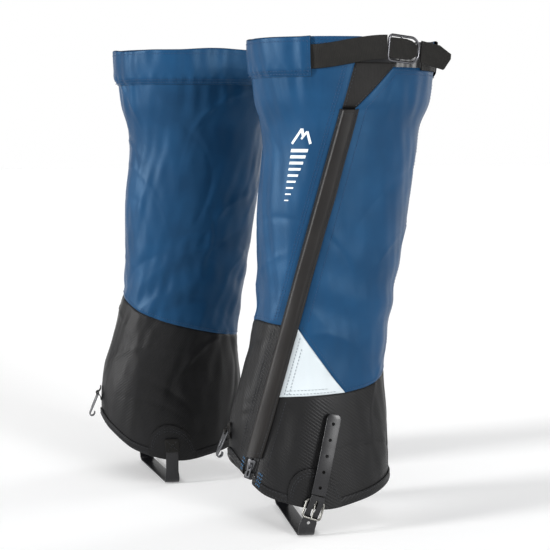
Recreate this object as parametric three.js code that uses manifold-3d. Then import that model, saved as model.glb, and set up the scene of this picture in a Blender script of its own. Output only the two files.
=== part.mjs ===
// A pair of zipped snow gaiters. Millimetres, +Z up, toes towards -X, wearer's left side towards -Y.
// The origin is on the ground, midway between the two leg axes. The left gaiter is modelled and the right
// one is its mirror image, one step ahead.
// Angles run round the leg in degrees: 0 is the toe side, 90 the outer side, 180 the heel, -90 the inner side.
// A lift is a distance outward from the middle of the body cloth.
import * as THREE from "three";
import { mergeVertices } from "three/addons/utils/BufferGeometryUtils.js";
import Module from "manifold-3d";

const wasm = await Module();
wasm.setup();

// ---- driving dimensions ----
const STANCE_WIDTH = 224; // between the two leg axes, side to side
const STEP_LENGTH = 93; // how far the right gaiter is ahead

const RIM_HEIGHT = 463; // top edge of the casing above the ground
const RIM_LENGTH = 180; // front to back at the rim
const RIM_WIDTH = 124; // side to side at the rim
const CALF_LENGTH = 147;
const CALF_WIDTH = 110;
const ANKLE_LENGTH = 131;
const ANKLE_WIDTH = 102;
const HEM_LENGTH = 156; // front to back at the hem
const HEM_WIDTH = 112;
const HEM_SIDE_HEIGHT = 25; // lowest point of the hem above the ground
const HEM_FRONT_RISE = 43; // how much higher the hem is over the instep
const HEM_HEEL_RISE = 17;
const REAR_RIM_DROP = 27; // the rear panel stops this far below the rim

const CLOTH = 1.2; // body cloth with its lining
const THIN = 0.8; // single layers laid over the body
const CLEAR = 0.35; // between two layers
const SAG = 0.2; // more room where two layers run round the leg with differently placed facets
const SEAM_GAP = 0.5; // between the edges of two panels

const SEAM_FRONT_HEIGHT = 199; // cloth change over the shin
const SEAM_HEEL_HEIGHT = 150;
const SEAM_OUTER_HEIGHT = 133; // lowest point of the cloth change, at the tip of the triangle
const TRIANGLE_TOP_HEIGHT = 197;
const TRIANGLE_CORNER_HEIGHT = 130;
const TRIANGLE_TIP_ANGLE = 106;
const UPPER_BACK_SEAM = 170; // angle of the upper panels' back seam
const LOWER_BACK_SEAM = 155;

const ZIP_BOTTOM_HEIGHT = 56;
const ZIP_BOTTOM_ANGLE = 31;
const ZIP_TOP_BELOW_RIM = 66;
const ZIP_TOP_ANGLE = 81;
const ZIP_EASE = 28; // angle over which the body eases onto the straight zip
const ZIP_HALF_GAP = 6.5; // from the zip line to the edge of each panel
const TEETH_WIDTH = 2.0; // one row
const TEETH_DEPTH = 2.0;
const TEETH_GAP = 1.6; // between the two rows, where the slider's web runs
const TAPE = 0.6;
const SLIDER_WIDTH = 8;
const SLIDER_LENGTH = 11;
const SLIDER_PLATE = 1.2;
const SLIDER_WEB = 0.9;
const SLIDER_ABOVE_END = 9; // slider's middle above the zip's bottom point when closed
const SLIDER_BRIDGE_WIDTH = 1.6;
const SLIDER_BRIDGE_LENGTH = 4.6;
const SLIDER_BRIDGE = 0.8;
const SLIDER_BRIDGE_ROOM = 2; // under the bridge, for the pull
const PULL_WIDTH = 5;
const PULL_LENGTH = 15;
const PULL_PLATE = 1.0;
const END_BOX_WIDTH = 8.4;
const END_BOX_LENGTH = 7;
const END_BOX_DEPTH = 4.4;

const FLAP_FRONT = 8.5; // from the zip line to the sewn edge
const FLAP_REAR = 11; // from the zip line to the free edge
const FLAP_CREST = 5.7; // underside of the flap above the zip
const FLAP_CREST_HALF = 4.6;
const FLAP_START = 17; // lower end of the flap above the zip's bottom point
const FLAP_FOOT_RISE = 0.8; // the flap's lower end sits this much further out
const FLAP_END_RISE = 0.6; // how far the flap stands off where it turns down to its free edge
const LOOP_STRIP_WIDTH = 3.6;
const LOOP_STRIP = 0.5;

const CASING_HEIGHT = 36;
const CASING_FRONT_END = 57; // angle where the webbing comes out
const WEBBING_WIDTH = 22;
const WEBBING = 1.2;
const WEBBING_BELOW_RIM = 18;
const WEBBING_RISE = 9; // the strap climbs this much on its way to the buckle
const WEBBING_REAR_END = 132;
const TAIL_LENGTH = 37;
const TOP_BUCKLE_ANGLE = 103;
const TOP_BUCKLE_LENGTH = 37;
const TOP_BUCKLE_ROOM = 3.5; // the buckle is this much higher than the webbing
const TOP_BUCKLE_HEIGHT = WEBBING_WIDTH + TOP_BUCKLE_ROOM;
const TOP_BUCKLE_WIRE = 1.2; // radius
const TOP_BUCKLE_BAR = 15; // from the front end to the middle bar
const TOP_BUCKLE_BAR_WIDTH = 3;
const TOP_BUCKLE_BAR_DEPTH = 1.6;
const TOP_BUCKLE_LIFT = 4.4; // middle of the buckle's front wire
const TOP_BUCKLE_SPAN = 25.5; // degrees round the leg
const GUSSET_TOP_FRONT = 84;
const GUSSET_TOP_REAR = 111.5;
const GUSSET_TOP_DROP = 23; // below the rim

const HEM_BAND_HEIGHT = 8;
const PATCH_ANGLE = 81;
const PATCH_HALF_ANGLE = 18.5;
const PATCH_HEIGHT = 38;
const PATCH_SHOULDER = 4;
const ANCHOR_SIZE = 14;
const ANCHOR_HEIGHT = 42;

const STRAP_WIDTH = 13.5;
const STRAP_FOOT_WIDTH = 15.5; // under the foot
const STRAP_TURN = 8; // radius where it turns under the foot
const STRAP = 1.5;
const STRAP_HOLE = 3.2; // diameter
const HOLE_PITCH = 15;
const TAIL_HOLES = 5;
const LAST_HOLE_FROM_END = 9;
const STRAP_TAIL_LENGTH = 76;
const STRAP_LEAN = 13; // the long end leans towards the heel, degrees
const BUCKLE_LEAN = 19; // the buckle and the lower end lean more
const PIN_BUCKLE_HEIGHT = 34; // heel bar above the ground
const PIN_BUCKLE_WIDTH = 17.2; // between wire centres
const PIN_BUCKLE_REACH = 16.5; // heel bar to end bar
const PIN_BUCKLE_WIRE = 1.1; // radius
const PIN_BUCKLE_TILT = 6.5; // the end bar stands out, degrees
const PRONG_WIRE = 0.9; // radius
const BUCKLE_TAB_WIDTH = 11;
const BUCKLE_TAB_LENGTH = 30;

const HOOK_WIDTH = 12;
const HOOK_LENGTH = 26;
const HOOK_PLATE = 1.2;
const HOOK_CURL = 3.1; // outer radius of the hook's turned end
const HOOK_BAR_HEIGHT = 92; // the bar that the loop holds, above the ground
const HOOK_BAR_LIFT = 4.4;
const HOOK_TILT = 23;
const HOOK_LOOP_WIDTH = 7;

// ---- helpers ----
const toRadians = THREE.MathUtils.degToRad;
const toDegrees = THREE.MathUtils.radToDeg;
const mix = THREE.MathUtils.lerp;

function ticks(knots, counts) {
  const values = [knots[0]];
  counts.forEach((count, k) => {
    for (let i = 1; i <= count; i += 1) values.push(mix(knots[k], knots[k + 1], i / count));
  });
  return values;
}

// a smooth curve through [x, y] points, with x rising
function curveThrough(points) {
  const slopes = points.map((point, k) => {
    const before = points[Math.max(k - 1, 0)];
    const after = points[Math.min(k + 1, points.length - 1)];
    return (after[1] - before[1]) / (after[0] - before[0]);
  });
  return (x) => {
    let k = points.findIndex((point) => point[0] >= x) - 1;
    if (k < 0) k = x <= points[0][0] ? 0 : points.length - 2;
    const [[x0, y0], [x1, y1]] = [points[k], points[k + 1]];
    const span = x1 - x0;
    const t = (x - x0) / span;
    const swing = slopes[k] * t * (1 - t) * (1 - t) - slopes[k + 1] * t * t * (1 - t);
    return mix(y0, y1, t * t * (3 - 2 * t)) + swing * span;
  };
}

function geometryOf(points, faces) {
  const geometry = new THREE.BufferGeometry();
  geometry.setAttribute("position", new THREE.Float32BufferAttribute(points.flatMap((p) => [p.x, p.y, p.z]), 3));
  let volume = 0;
  for (const [a, b, c] of faces) volume += points[a].dot(new THREE.Vector3().crossVectors(points[b], points[c]));
  const turned = volume < 0 ? faces.map(([a, b, c]) => [a, c, b]) : faces;
  geometry.setIndex(turned.flat());
  return geometry;
}

// A sheet with a thickness: a grid of points on each face, joined round the edges.
function slab(columns, rows, inner, outer) {
  const points = [];
  const faces = [];
  for (const face of [inner, outer]) {
    for (const u of columns) for (const v of rows) points.push(face(u, v));
  }
  const layer = columns.length * rows.length;
  const at = (i, j) => i * rows.length + j;
  const quad = (a, b, c, d) => faces.push([a, b, c], [a, c, d]);
  const lastColumn = columns.length - 1;
  const lastRow = rows.length - 1;
  for (let i = 0; i < lastColumn; i += 1) {
    for (let j = 0; j < lastRow; j += 1) {
      quad(layer + at(i, j), layer + at(i + 1, j), layer + at(i + 1, j + 1), layer + at(i, j + 1));
      quad(at(i, j), at(i, j + 1), at(i + 1, j + 1), at(i + 1, j));
    }
    quad(at(i, 0), at(i + 1, 0), layer + at(i + 1, 0), layer + at(i, 0));
    quad(at(i + 1, lastRow), at(i, lastRow), layer + at(i, lastRow), layer + at(i + 1, lastRow));
  }
  for (let j = 0; j < lastRow; j += 1) {
    quad(at(0, j + 1), at(0, j), layer + at(0, j), layer + at(0, j + 1));
    quad(at(lastColumn, j), at(lastColumn, j + 1), layer + at(lastColumn, j + 1), layer + at(lastColumn, j));
  }
  return geometryOf(points, faces);
}

function solidOf(geometry) {
  const bare = geometry.clone();
  bare.deleteAttribute("normal");
  bare.deleteAttribute("uv");
  const merged = mergeVertices(bare, 1e-4);
  return new wasm.Manifold(
    new wasm.Mesh({
      numProp: 3,
      vertProperties: new Float32Array(merged.attributes.position.array),
      triVerts: new Uint32Array(merged.index.array),
    }),
  );
}

function geometryFrom(solid) {
  const mesh = solid.getMesh();
  const geometry = new THREE.BufferGeometry();
  geometry.setAttribute("position", new THREE.BufferAttribute(new Float32Array(mesh.vertProperties), 3));
  geometry.setIndex(new THREE.BufferAttribute(new Uint32Array(mesh.triVerts), 1));
  return geometry;
}

const join = (...pieces) => geometryFrom(pieces.map(solidOf).reduce((whole, piece) => whole.add(piece)));
const cut = (body, ...tools) =>
  geometryFrom(tools.map(solidOf).reduce((rest, tool) => rest.subtract(tool), solidOf(body)));

const box = (x, y, z, cx = 0, cy = 0, cz = 0) => new THREE.BoxGeometry(x, y, z).translate(cx, cy, cz);

// an outline in a plane, extruded by the same amount to both sides of it
function plate(shape, thickness, curveSegments = 4) {
  const settings = { depth: thickness, bevelEnabled: false, curveSegments };
  return new THREE.ExtrudeGeometry(shape, settings).translate(0, 0, -thickness / 2);
}

function roundedOutline(halfX, lowY, highY, radius) {
  const outline = new THREE.Shape();
  outline.moveTo(-halfX + radius, lowY);
  outline.lineTo(halfX - radius, lowY);
  outline.absarc(halfX - radius, lowY + radius, radius, -Math.PI / 2, 0);
  outline.absarc(halfX - radius, highY - radius, radius, 0, Math.PI / 2);
  outline.absarc(-halfX + radius, highY - radius, radius, Math.PI / 2, Math.PI);
  outline.absarc(-halfX + radius, lowY + radius, radius, Math.PI, Math.PI * 1.5);
  return outline;
}

const asHole = (outline) => new THREE.Path(outline.getPoints(2).reverse());

// a closed ring of round wire along a flat outline
function wireRing(outline, radius, segments, sides) {
  const corners = outline.getSpacedPoints(segments).slice(0, -1);
  const path = new THREE.CatmullRomCurve3(corners.map((p) => new THREE.Vector3(p.x, p.y, 0)), true);
  return new THREE.TubeGeometry(path, segments, radius, sides, true);
}

// points of an arc, in degrees, ends included
function arc(radius, from, to, steps) {
  return ticks([from, to], [steps]).map((degrees) => {
    const a = toRadians(degrees);
    return new THREE.Vector2(radius * Math.cos(a), radius * Math.sin(a));
  });
}

// a full circle as a hole
const roundHole = (radius) => new THREE.Path(arc(radius, 0, 330, 11));
const at = (x, y) => new THREE.Vector2(x, y);

const rod = (radius, length, sides = 8) => new THREE.CylinderGeometry(radius, radius, length, sides);

// ---- the leg's surface ----
const share = (part) => mix(HEM_SIDE_HEIGHT, RIM_HEIGHT, part);
const SECTIONS = [
  { height: HEM_SIDE_HEIGHT, centre: -8, length: HEM_LENGTH, width: HEM_WIDTH },
  { height: share(0.096), centre: -11, length: HEM_LENGTH, width: HEM_WIDTH - 2 },
  { height: share(0.187), centre: -11, length: HEM_LENGTH - 4, width: HEM_WIDTH - 7 },
  { height: share(0.29), centre: -6, length: ANKLE_LENGTH + 5, width: ANKLE_WIDTH - 1 },
  { height: share(0.416), centre: 4, length: ANKLE_LENGTH, width: ANKLE_WIDTH },
  { height: share(0.53), centre: 9.5, length: CALF_LENGTH - 8, width: CALF_WIDTH - 4 },
  { height: share(0.644), centre: 14, length: CALF_LENGTH, width: CALF_WIDTH },
  { height: share(0.758), centre: 20.5, length: CALF_LENGTH + 2, width: CALF_WIDTH + 2 },
  { height: share(0.817), centre: 21, length: RIM_LENGTH - 26, width: RIM_WIDTH - 10 },
  { height: share(0.872), centre: 23, length: RIM_LENGTH - 10, width: RIM_WIDTH - 2 },
  { height: RIM_HEIGHT, centre: 23.5, length: RIM_LENGTH, width: RIM_WIDTH },
];
const column = (key) => curveThrough(SECTIONS.map((row) => [row.height, row[key]]));
const centreAt = column("centre");
const lengthAt = column("length");
const widthAt = column("width");

function onOval(angle, height) {
  const a = toRadians(angle);
  const x = centreAt(height) - (lengthAt(height) / 2) * Math.cos(a);
  return new THREE.Vector3(x, (-widthAt(height) / 2) * Math.sin(a), height);
}

const ZIP_TOP_HEIGHT = RIM_HEIGHT - ZIP_TOP_BELOW_RIM;
const zipBottom = onOval(ZIP_BOTTOM_ANGLE, ZIP_BOTTOM_HEIGHT);
const zipTop = onOval(ZIP_TOP_ANGLE, ZIP_TOP_HEIGHT);
const zipRun = zipTop.clone().sub(zipBottom);
const ZIP_LENGTH = zipRun.length();
const zipUp = zipRun.clone().normalize();
const onZip = (distance) => zipBottom.clone().addScaledVector(zipUp, distance);
const zipAtHeight = (height) => onZip(((height - ZIP_BOTTOM_HEIGHT) / zipRun.z) * ZIP_LENGTH);

function zipAngle(height) {
  const point = zipAtHeight(THREE.MathUtils.clamp(height, 0, ZIP_TOP_HEIGHT));
  const across = -(point.x - centreAt(point.z)) / (lengthAt(point.z) / 2);
  return toDegrees(Math.atan2(-point.y / (widthAt(point.z) / 2), across));
}

// The zip is straight, so the oval is eased in or out beside it until it meets the zip line.
function onLeg(angle, height) {
  const point = onOval(angle, height);
  if (height > ZIP_TOP_HEIGHT) return point;
  const middle = zipAngle(height);
  const away = THREE.MathUtils.euclideanModulo(angle - middle + 180, 360) - 180;
  const ease = Math.exp(-((away / ZIP_EASE) ** 4));
  const shift = zipAtHeight(height).sub(onOval(middle, height));
  return point.addScaledVector(shift, ease);
}

function outwardAt(angle, height) {
  const step = 0.5;
  const round = onLeg(angle + step, height).sub(onLeg(angle - step, height));
  const up = onLeg(angle, height + step).sub(onLeg(angle, height - step));
  return round.cross(up).normalize();
}

const lifted = (angle, height, lift) => onLeg(angle, height).addScaledVector(outwardAt(angle, height), lift);

// the angle that lies some millimetres round the leg from the given one
function beside(angle, height, distance) {
  const perDegree = onLeg(angle + 0.5, height).distanceTo(onLeg(angle - 0.5, height));
  return angle + distance / perDegree;
}

const besideZip = (height, distance) => beside(zipAngle(height), height, distance);

// ---- edges of the panels, each as [angle, height] ----
const hemCurve = curveThrough([
  [-25, HEM_SIDE_HEIGHT + HEM_FRONT_RISE * 0.7],
  [0, HEM_SIDE_HEIGHT + HEM_FRONT_RISE],
  [25, HEM_SIDE_HEIGHT + HEM_FRONT_RISE * 0.7],
  [50, HEM_SIDE_HEIGHT + HEM_FRONT_RISE * 0.27],
  [85, HEM_SIDE_HEIGHT],
  [115, HEM_SIDE_HEIGHT + HEM_HEEL_RISE * 0.27],
  [180, HEM_SIDE_HEIGHT + HEM_HEEL_RISE],
  [245, HEM_SIDE_HEIGHT + HEM_HEEL_RISE * 0.27],
]);
const hemHeight = (angle) => hemCurve(Math.abs(THREE.MathUtils.euclideanModulo(angle + 180, 360) - 180));

const seamCurve = curveThrough([
  [TRIANGLE_TIP_ANGLE - 360, SEAM_OUTER_HEIGHT],
  [-230, mix(SEAM_OUTER_HEIGHT, SEAM_HEEL_HEIGHT, 0.25)],
  [-190, SEAM_HEEL_HEIGHT],
  [-130, mix(SEAM_HEEL_HEIGHT, SEAM_FRONT_HEIGHT, 0.17)],
  [-80, mix(SEAM_HEEL_HEIGHT, SEAM_FRONT_HEIGHT, 0.43)],
  [-40, mix(SEAM_HEEL_HEIGHT, SEAM_FRONT_HEIGHT, 0.7)],
  [0, SEAM_FRONT_HEIGHT],
  [56, TRIANGLE_TOP_HEIGHT],
]);
const seamHeight = (angle) => seamCurve(angle > TRIANGLE_TIP_ANGLE - 1 ? angle - 360 : angle);
const REAR_RIM_HEIGHT = RIM_HEIGHT - REAR_RIM_DROP;
const GUSSET_TOP_HEIGHT = RIM_HEIGHT - GUSSET_TOP_DROP;
const GUSSET_FOOT_HEIGHT = ZIP_TOP_HEIGHT + 2;

// both edges of the opening over the zip run on up to the rim along the gusset
function openingEdge(height, distance, topAngle) {
  if (height <= GUSSET_FOOT_HEIGHT) return besideZip(height, distance);
  const foot = besideZip(GUSSET_FOOT_HEIGHT, distance);
  return mix(foot, topAngle, (height - GUSSET_FOOT_HEIGHT) / (GUSSET_TOP_HEIGHT - GUSSET_FOOT_HEIGHT));
}
const frontEdge = (height) => openingEdge(height, -ZIP_HALF_GAP, GUSSET_TOP_FRONT);
const rearEdge = (height) => openingEdge(height, ZIP_HALF_GAP, GUSSET_TOP_REAR);
const half = SEAM_GAP / 2;
const halfDegrees = half / (Math.PI * ANKLE_WIDTH / 360);

// fills the space between four edges, each a function of 0 to 1
function between({ left, right, bottom, top }) {
  return (u, v) =>
    [0, 1].map((k) => {
      const ruled = mix(bottom(u)[k], top(u)[k], v) + mix(left(v)[k], right(v)[k], u);
      const low = mix(bottom(0)[k], bottom(1)[k], u);
      const high = mix(top(0)[k], top(1)[k], u);
      return ruled - mix(low, high, v);
    });
}

// cloth over the leg between two lifts, on an area given by [angle, height] = area(u, v)
function cloth(area, columns, rows, low, high) {
  const face = (lift) => (u, v) => lifted(...area(u, v), lift);
  return slab(columns, rows, face(low), face(high));
}

// an edge that runs up the leg: its angle follows the height
const rising = (angleAt, low, high) => (t) => [angleAt(mix(low, high, t)), mix(low, high, t)];
const level = (from, to, heightAt) => (t) => [mix(from, to, t), heightAt(mix(from, to, t))];
const BODY = CLOTH / 2;
const evenly = (count) => ticks([0, 1], [count]);

// two stretches of an edge, meeting at the given share
const inTwo = (first, second, knee) => (t) =>
  t <= knee ? first(t / knee) : second((t - knee) / (1 - knee));

function upperFrontPanel() {
  const knee = 0.8;
  const foot = TRIANGLE_TOP_HEIGHT + half;
  const back = UPPER_BACK_SEAM - 360 + halfDegrees;
  const top = (t) => [mix(frontEdge(RIM_HEIGHT), back, t), RIM_HEIGHT];
  const zipSide = inTwo(
    rising(frontEdge, foot, GUSSET_FOOT_HEIGHT),
    rising(frontEdge, GUSSET_FOOT_HEIGHT, RIM_HEIGHT),
    knee,
  );
  const area = between({
    left: zipSide,
    right: rising(() => back, seamHeight(back) + half, RIM_HEIGHT),
    bottom: level(frontEdge(foot), back, (angle) => seamHeight(Math.min(angle, 56)) + half),
    top,
  });
  return cloth(area, evenly(36), ticks([0, knee, 1], [8, 3]), -BODY, BODY);
}

function upperRearPanel() {
  const kneeUp = 0.8;
  const kneeRound = 0.45;
  const back = UPPER_BACK_SEAM - halfDegrees;
  const corner = TRIANGLE_TOP_HEIGHT + half;
  const tip = [TRIANGLE_TIP_ANGLE, SEAM_OUTER_HEIGHT + half];
  const slope = (t) => [mix(rearEdge(corner), tip[0], t), mix(corner, tip[1], t)];
  const area = between({
    left: inTwo(
      rising(rearEdge, corner, GUSSET_FOOT_HEIGHT),
      rising(rearEdge, GUSSET_FOOT_HEIGHT, REAR_RIM_HEIGHT),
      kneeUp,
    ),
    right: rising(() => back, seamHeight(back) + half, REAR_RIM_HEIGHT),
    bottom: inTwo(slope, level(tip[0], back, (angle) => seamHeight(angle) + half), kneeRound),
    top: level(rearEdge(REAR_RIM_HEIGHT), back, () => REAR_RIM_HEIGHT),
  });
  const round = ticks([0, kneeRound, 1], [5, 7]);
  return cloth(area, round, ticks([0, kneeUp, 1], [10, 2]), -BODY, BODY);
}

// where the hem's curve crosses an edge of the zip opening
function hemCorner(distance) {
  let height = ZIP_BOTTOM_HEIGHT;
  for (let pass = 0; pass < 8; pass += 1) height = hemHeight(besideZip(height, distance));
  return [besideZip(height, distance), height];
}

function lowerFrontPanel() {
  const back = LOWER_BACK_SEAM - 360 + halfDegrees;
  const [corner, cornerHeight] = hemCorner(-ZIP_HALF_GAP);
  const top = TRIANGLE_TOP_HEIGHT - half;
  const area = between({
    left: rising(frontEdge, cornerHeight, top),
    right: rising(() => back, hemHeight(back), seamHeight(back) - half),
    bottom: level(corner, back, hemHeight),
    top: level(frontEdge(top), back, (angle) => seamHeight(Math.min(angle, 56)) - half),
  });
  return cloth(area, evenly(34), evenly(5), -BODY, BODY);
}

function lowerRearPanel() {
  const knee = 0.5;
  const back = LOWER_BACK_SEAM - halfDegrees;
  const [corner, cornerHeight] = hemCorner(ZIP_HALF_GAP);
  const top = TRIANGLE_CORNER_HEIGHT - half;
  const tip = [TRIANGLE_TIP_ANGLE, SEAM_OUTER_HEIGHT - half];
  const slope = (t) => [mix(rearEdge(top), tip[0], t), mix(top, tip[1], t)];
  const area = between({
    left: rising(rearEdge, cornerHeight, top),
    right: rising(() => back, hemHeight(back), seamHeight(back) - half),
    bottom: level(corner, back, hemHeight),
    top: inTwo(slope, level(tip[0], back, (angle) => seamHeight(angle) - half), knee),
  });
  return cloth(area, ticks([0, knee, 1], [7, 6]), evenly(4), -BODY, BODY);
}

function reflectiveTriangle() {
  const low = TRIANGLE_CORNER_HEIGHT + half;
  const high = TRIANGLE_TOP_HEIGHT - 3 * half;
  const tip = TRIANGLE_TIP_ANGLE - 5 * halfDegrees;
  const area = between({
    left: rising(rearEdge, low, high),
    right: rising(() => tip, SEAM_OUTER_HEIGHT + half, SEAM_OUTER_HEIGHT + 3 * half),
    bottom: (t) => [mix(rearEdge(low), tip, t), mix(low, SEAM_OUTER_HEIGHT + half, t)],
    top: (t) => [mix(rearEdge(high), tip, t), mix(high, SEAM_OUTER_HEIGHT + 3 * half, t)],
  });
  return cloth(area, evenly(4), evenly(3), -BODY, BODY);
}

function stretchGusset() {
  const foot = GUSSET_FOOT_HEIGHT + half;
  const top = GUSSET_TOP_HEIGHT;
  const frontSide = (height) => beside(frontEdge(height), height, SEAM_GAP);
  const rearSide = (height) => beside(rearEdge(height), height, -SEAM_GAP);
  const area = between({
    left: rising(frontSide, foot, top),
    right: rising(rearSide, foot, top),
    bottom: (t) => [mix(frontSide(foot), rearSide(foot), t), foot],
    top: (t) => [mix(frontSide(top), rearSide(top), t), top],
  });
  return cloth(area, evenly(4), evenly(3), -BODY, BODY);
}

// ---- the top: webbing between the body and the casing, and its buckle ----
const WEBBING_LIFT = BODY + CLEAR + SAG;
const CASING_LIFT = WEBBING_LIFT + WEBBING + CLEAR + SAG;

function topCasing() {
  const back = UPPER_BACK_SEAM - 360;
  const area = (u, v) => [mix(CASING_FRONT_END, back, u), RIM_HEIGHT - CASING_HEIGHT * (1 - v)];
  return cloth(area, evenly(36), evenly(2), CASING_LIFT, CASING_LIFT + THIN);
}

// height of the webbing's middle: level in the casing, climbing to the buckle
function webbingHeight(angle) {
  const climb = THREE.MathUtils.smoothstep(angle, CASING_FRONT_END, TOP_BUCKLE_ANGLE);
  return RIM_HEIGHT - WEBBING_BELOW_RIM + WEBBING_RISE * climb;
}

const buckleFront = lifted(TOP_BUCKLE_ANGLE, webbingHeight(TOP_BUCKLE_ANGLE), TOP_BUCKLE_LIFT);
const buckleRear = lifted(
  TOP_BUCKLE_ANGLE + TOP_BUCKLE_SPAN,
  webbingHeight(TOP_BUCKLE_ANGLE) - 3,
  TOP_BUCKLE_LIFT + 1,
);

// a matrix whose x runs along the first direction and whose z faces outward
function frameOf(origin, along, outward) {
  const x = along.clone().normalize();
  const y = new THREE.Vector3().crossVectors(outward, x).normalize();
  const z = new THREE.Vector3().crossVectors(x, y);
  return new THREE.Matrix4().makeBasis(x, y, z).setPosition(origin);
}

const topBuckleFrame = frameOf(
  buckleFront,
  buckleRear.clone().sub(buckleFront),
  outwardAt(TOP_BUCKLE_ANGLE + 12, webbingHeight(TOP_BUCKLE_ANGLE)),
);

function topWebbing() {
  const start = beside(TOP_BUCKLE_ANGLE, RIM_HEIGHT, -TOP_BUCKLE_WIRE + 0.5);
  const end = WEBBING_REAR_END - 360;
  const around = ticks([start, CASING_FRONT_END, end], [5, 36]);
  const face = (lift) => (angle, v) => {
    const outward = THREE.MathUtils.smoothstep(angle, CASING_FRONT_END + 12, start) * (TOP_BUCKLE_LIFT - 2 * BODY);
    return lifted(angle, webbingHeight(angle) + (v - 0.5) * WEBBING_WIDTH, lift + outward);
  };
  return slab(around, evenly(1), face(WEBBING_LIFT), face(WEBBING_LIFT + WEBBING));
}

function topBuckle() {
  const reach = TOP_BUCKLE_LENGTH - 2 * TOP_BUCKLE_WIRE;
  const rise = TOP_BUCKLE_HEIGHT / 2 - TOP_BUCKLE_WIRE;
  const small = 4;
  const large = 9.5;
  const outline = new THREE.Path();
  outline.moveTo(small, -rise);
  outline.lineTo(reach - large, -rise);
  outline.absarc(reach - large, -rise + large, large, -Math.PI / 2, 0);
  outline.absarc(reach - large, rise - large, large, 0, Math.PI / 2);
  outline.lineTo(small, rise);
  outline.absarc(small, rise - small, small, Math.PI / 2, Math.PI);
  outline.absarc(small, -rise + small, small, Math.PI, Math.PI * 1.5);
  const ring = wireRing(outline, TOP_BUCKLE_WIRE, 34, 6).translate(TOP_BUCKLE_WIRE, 0, 0);
  const bar = box(TOP_BUCKLE_BAR_WIDTH, 2 * rise, TOP_BUCKLE_BAR_DEPTH, TOP_BUCKLE_BAR, 0, 0);
  return join(ring, bar).applyMatrix4(topBuckleFrame);
}

// the webbing inside the buckle, over the middle bar
function buckleLacing() {
  const half = WEBBING_WIDTH / 2 - 2;
  const clearOfWire = 2 * TOP_BUCKLE_WIRE + CLEAR + 0.2;
  const over = TOP_BUCKLE_BAR_DEPTH / 2 + CLEAR + WEBBING / 2;
  const rows = [
    [clearOfWire, -0.4],
    [TOP_BUCKLE_BAR - TOP_BUCKLE_BAR_WIDTH, over],
    [TOP_BUCKLE_BAR + TOP_BUCKLE_BAR_WIDTH, over],
    [TOP_BUCKLE_LENGTH - clearOfWire - 1, 0.4],
  ];
  const face = (side) => (k, v) => {
    const [x, lift] = rows[k];
    const rise = k === rows.length - 1 ? half * 0.55 : half;
    return new THREE.Vector3(x, (2 * v - 1) * rise, lift + (side * WEBBING) / 2);
  };
  return slab([...rows.keys()], [0, 1], face(-1), face(1)).applyMatrix4(topBuckleFrame);
}

function webbingTail() {
  const start = TOP_BUCKLE_LENGTH + CLEAR;
  const slant = 7;
  const drop = -3;
  const outline = new THREE.Shape();
  outline.moveTo(start, -WEBBING_WIDTH / 2 + 1);
  outline.lineTo(start + TAIL_LENGTH - slant, -WEBBING_WIDTH / 2 + drop);
  outline.lineTo(start + TAIL_LENGTH, WEBBING_WIDTH / 2 + drop - 6);
  outline.lineTo(start + TAIL_LENGTH - 14, WEBBING_WIDTH / 2 + drop / 2 - 1);
  outline.lineTo(start, WEBBING_WIDTH / 2 - 1);
  return plate(outline, WEBBING).applyMatrix4(topBuckleFrame);
}

// ---- the zip: everything here runs along one straight line ----
const zipOutward = outwardAt(zipAngle(ZIP_BOTTOM_HEIGHT), ZIP_BOTTOM_HEIGHT).lerp(
  outwardAt(zipAngle(ZIP_TOP_HEIGHT), ZIP_TOP_HEIGHT),
  0.25,
);
const zipRearward = new THREE.Vector3().crossVectors(zipUp, zipOutward).normalize();
zipOutward.crossVectors(zipRearward, zipUp);
// x rearward, y up the zip, z outward
const zipFrame = (distance) =>
  new THREE.Matrix4().makeBasis(zipRearward, zipUp, zipOutward).setPosition(onZip(distance));
const END_BOX_TOP = 2;
const TEETH_START = END_BOX_TOP + CLEAR;
const TEETH_END = ZIP_LENGTH - 1;

// A row of teeth with its tape, which lies flat beside the teeth and then bends to the panel's edge.
function zipSide(side) {
  const length = TEETH_END - TEETH_START;
  const middle = (TEETH_GAP + TEETH_WIDTH) / 2;
  const teeth = box(TEETH_WIDTH, length, TEETH_DEPTH, side * middle, TEETH_START + length / 2, 0);
  const inside = TEETH_GAP / 2 + TEETH_WIDTH / 2;
  const flat = SLIDER_WIDTH / 2 + 2 * CLEAR;
  const face = (lift) => (distance, step) => {
    const point = onZip(distance);
    if (step < 2) {
      const across = side * (step === 0 ? inside : flat);
      return point.addScaledVector(zipRearward, across).addScaledVector(zipOutward, lift);
    }
    return lifted(besideZip(point.z, side * (ZIP_HALF_GAP - CLEAR - SAG)), point.z, lift);
  };
  const tape = slab(ticks([TEETH_START + 1, TEETH_END - 1], [12]), [0, 1, 2], face(-TAPE / 2), face(TAPE / 2));
  return join(tape, teeth.applyMatrix4(zipFrame(0)));
}

const CHANNEL = TEETH_DEPTH / 2 + CLEAR;
const SLIDER_TOP = CHANNEL + SLIDER_PLATE;

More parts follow.
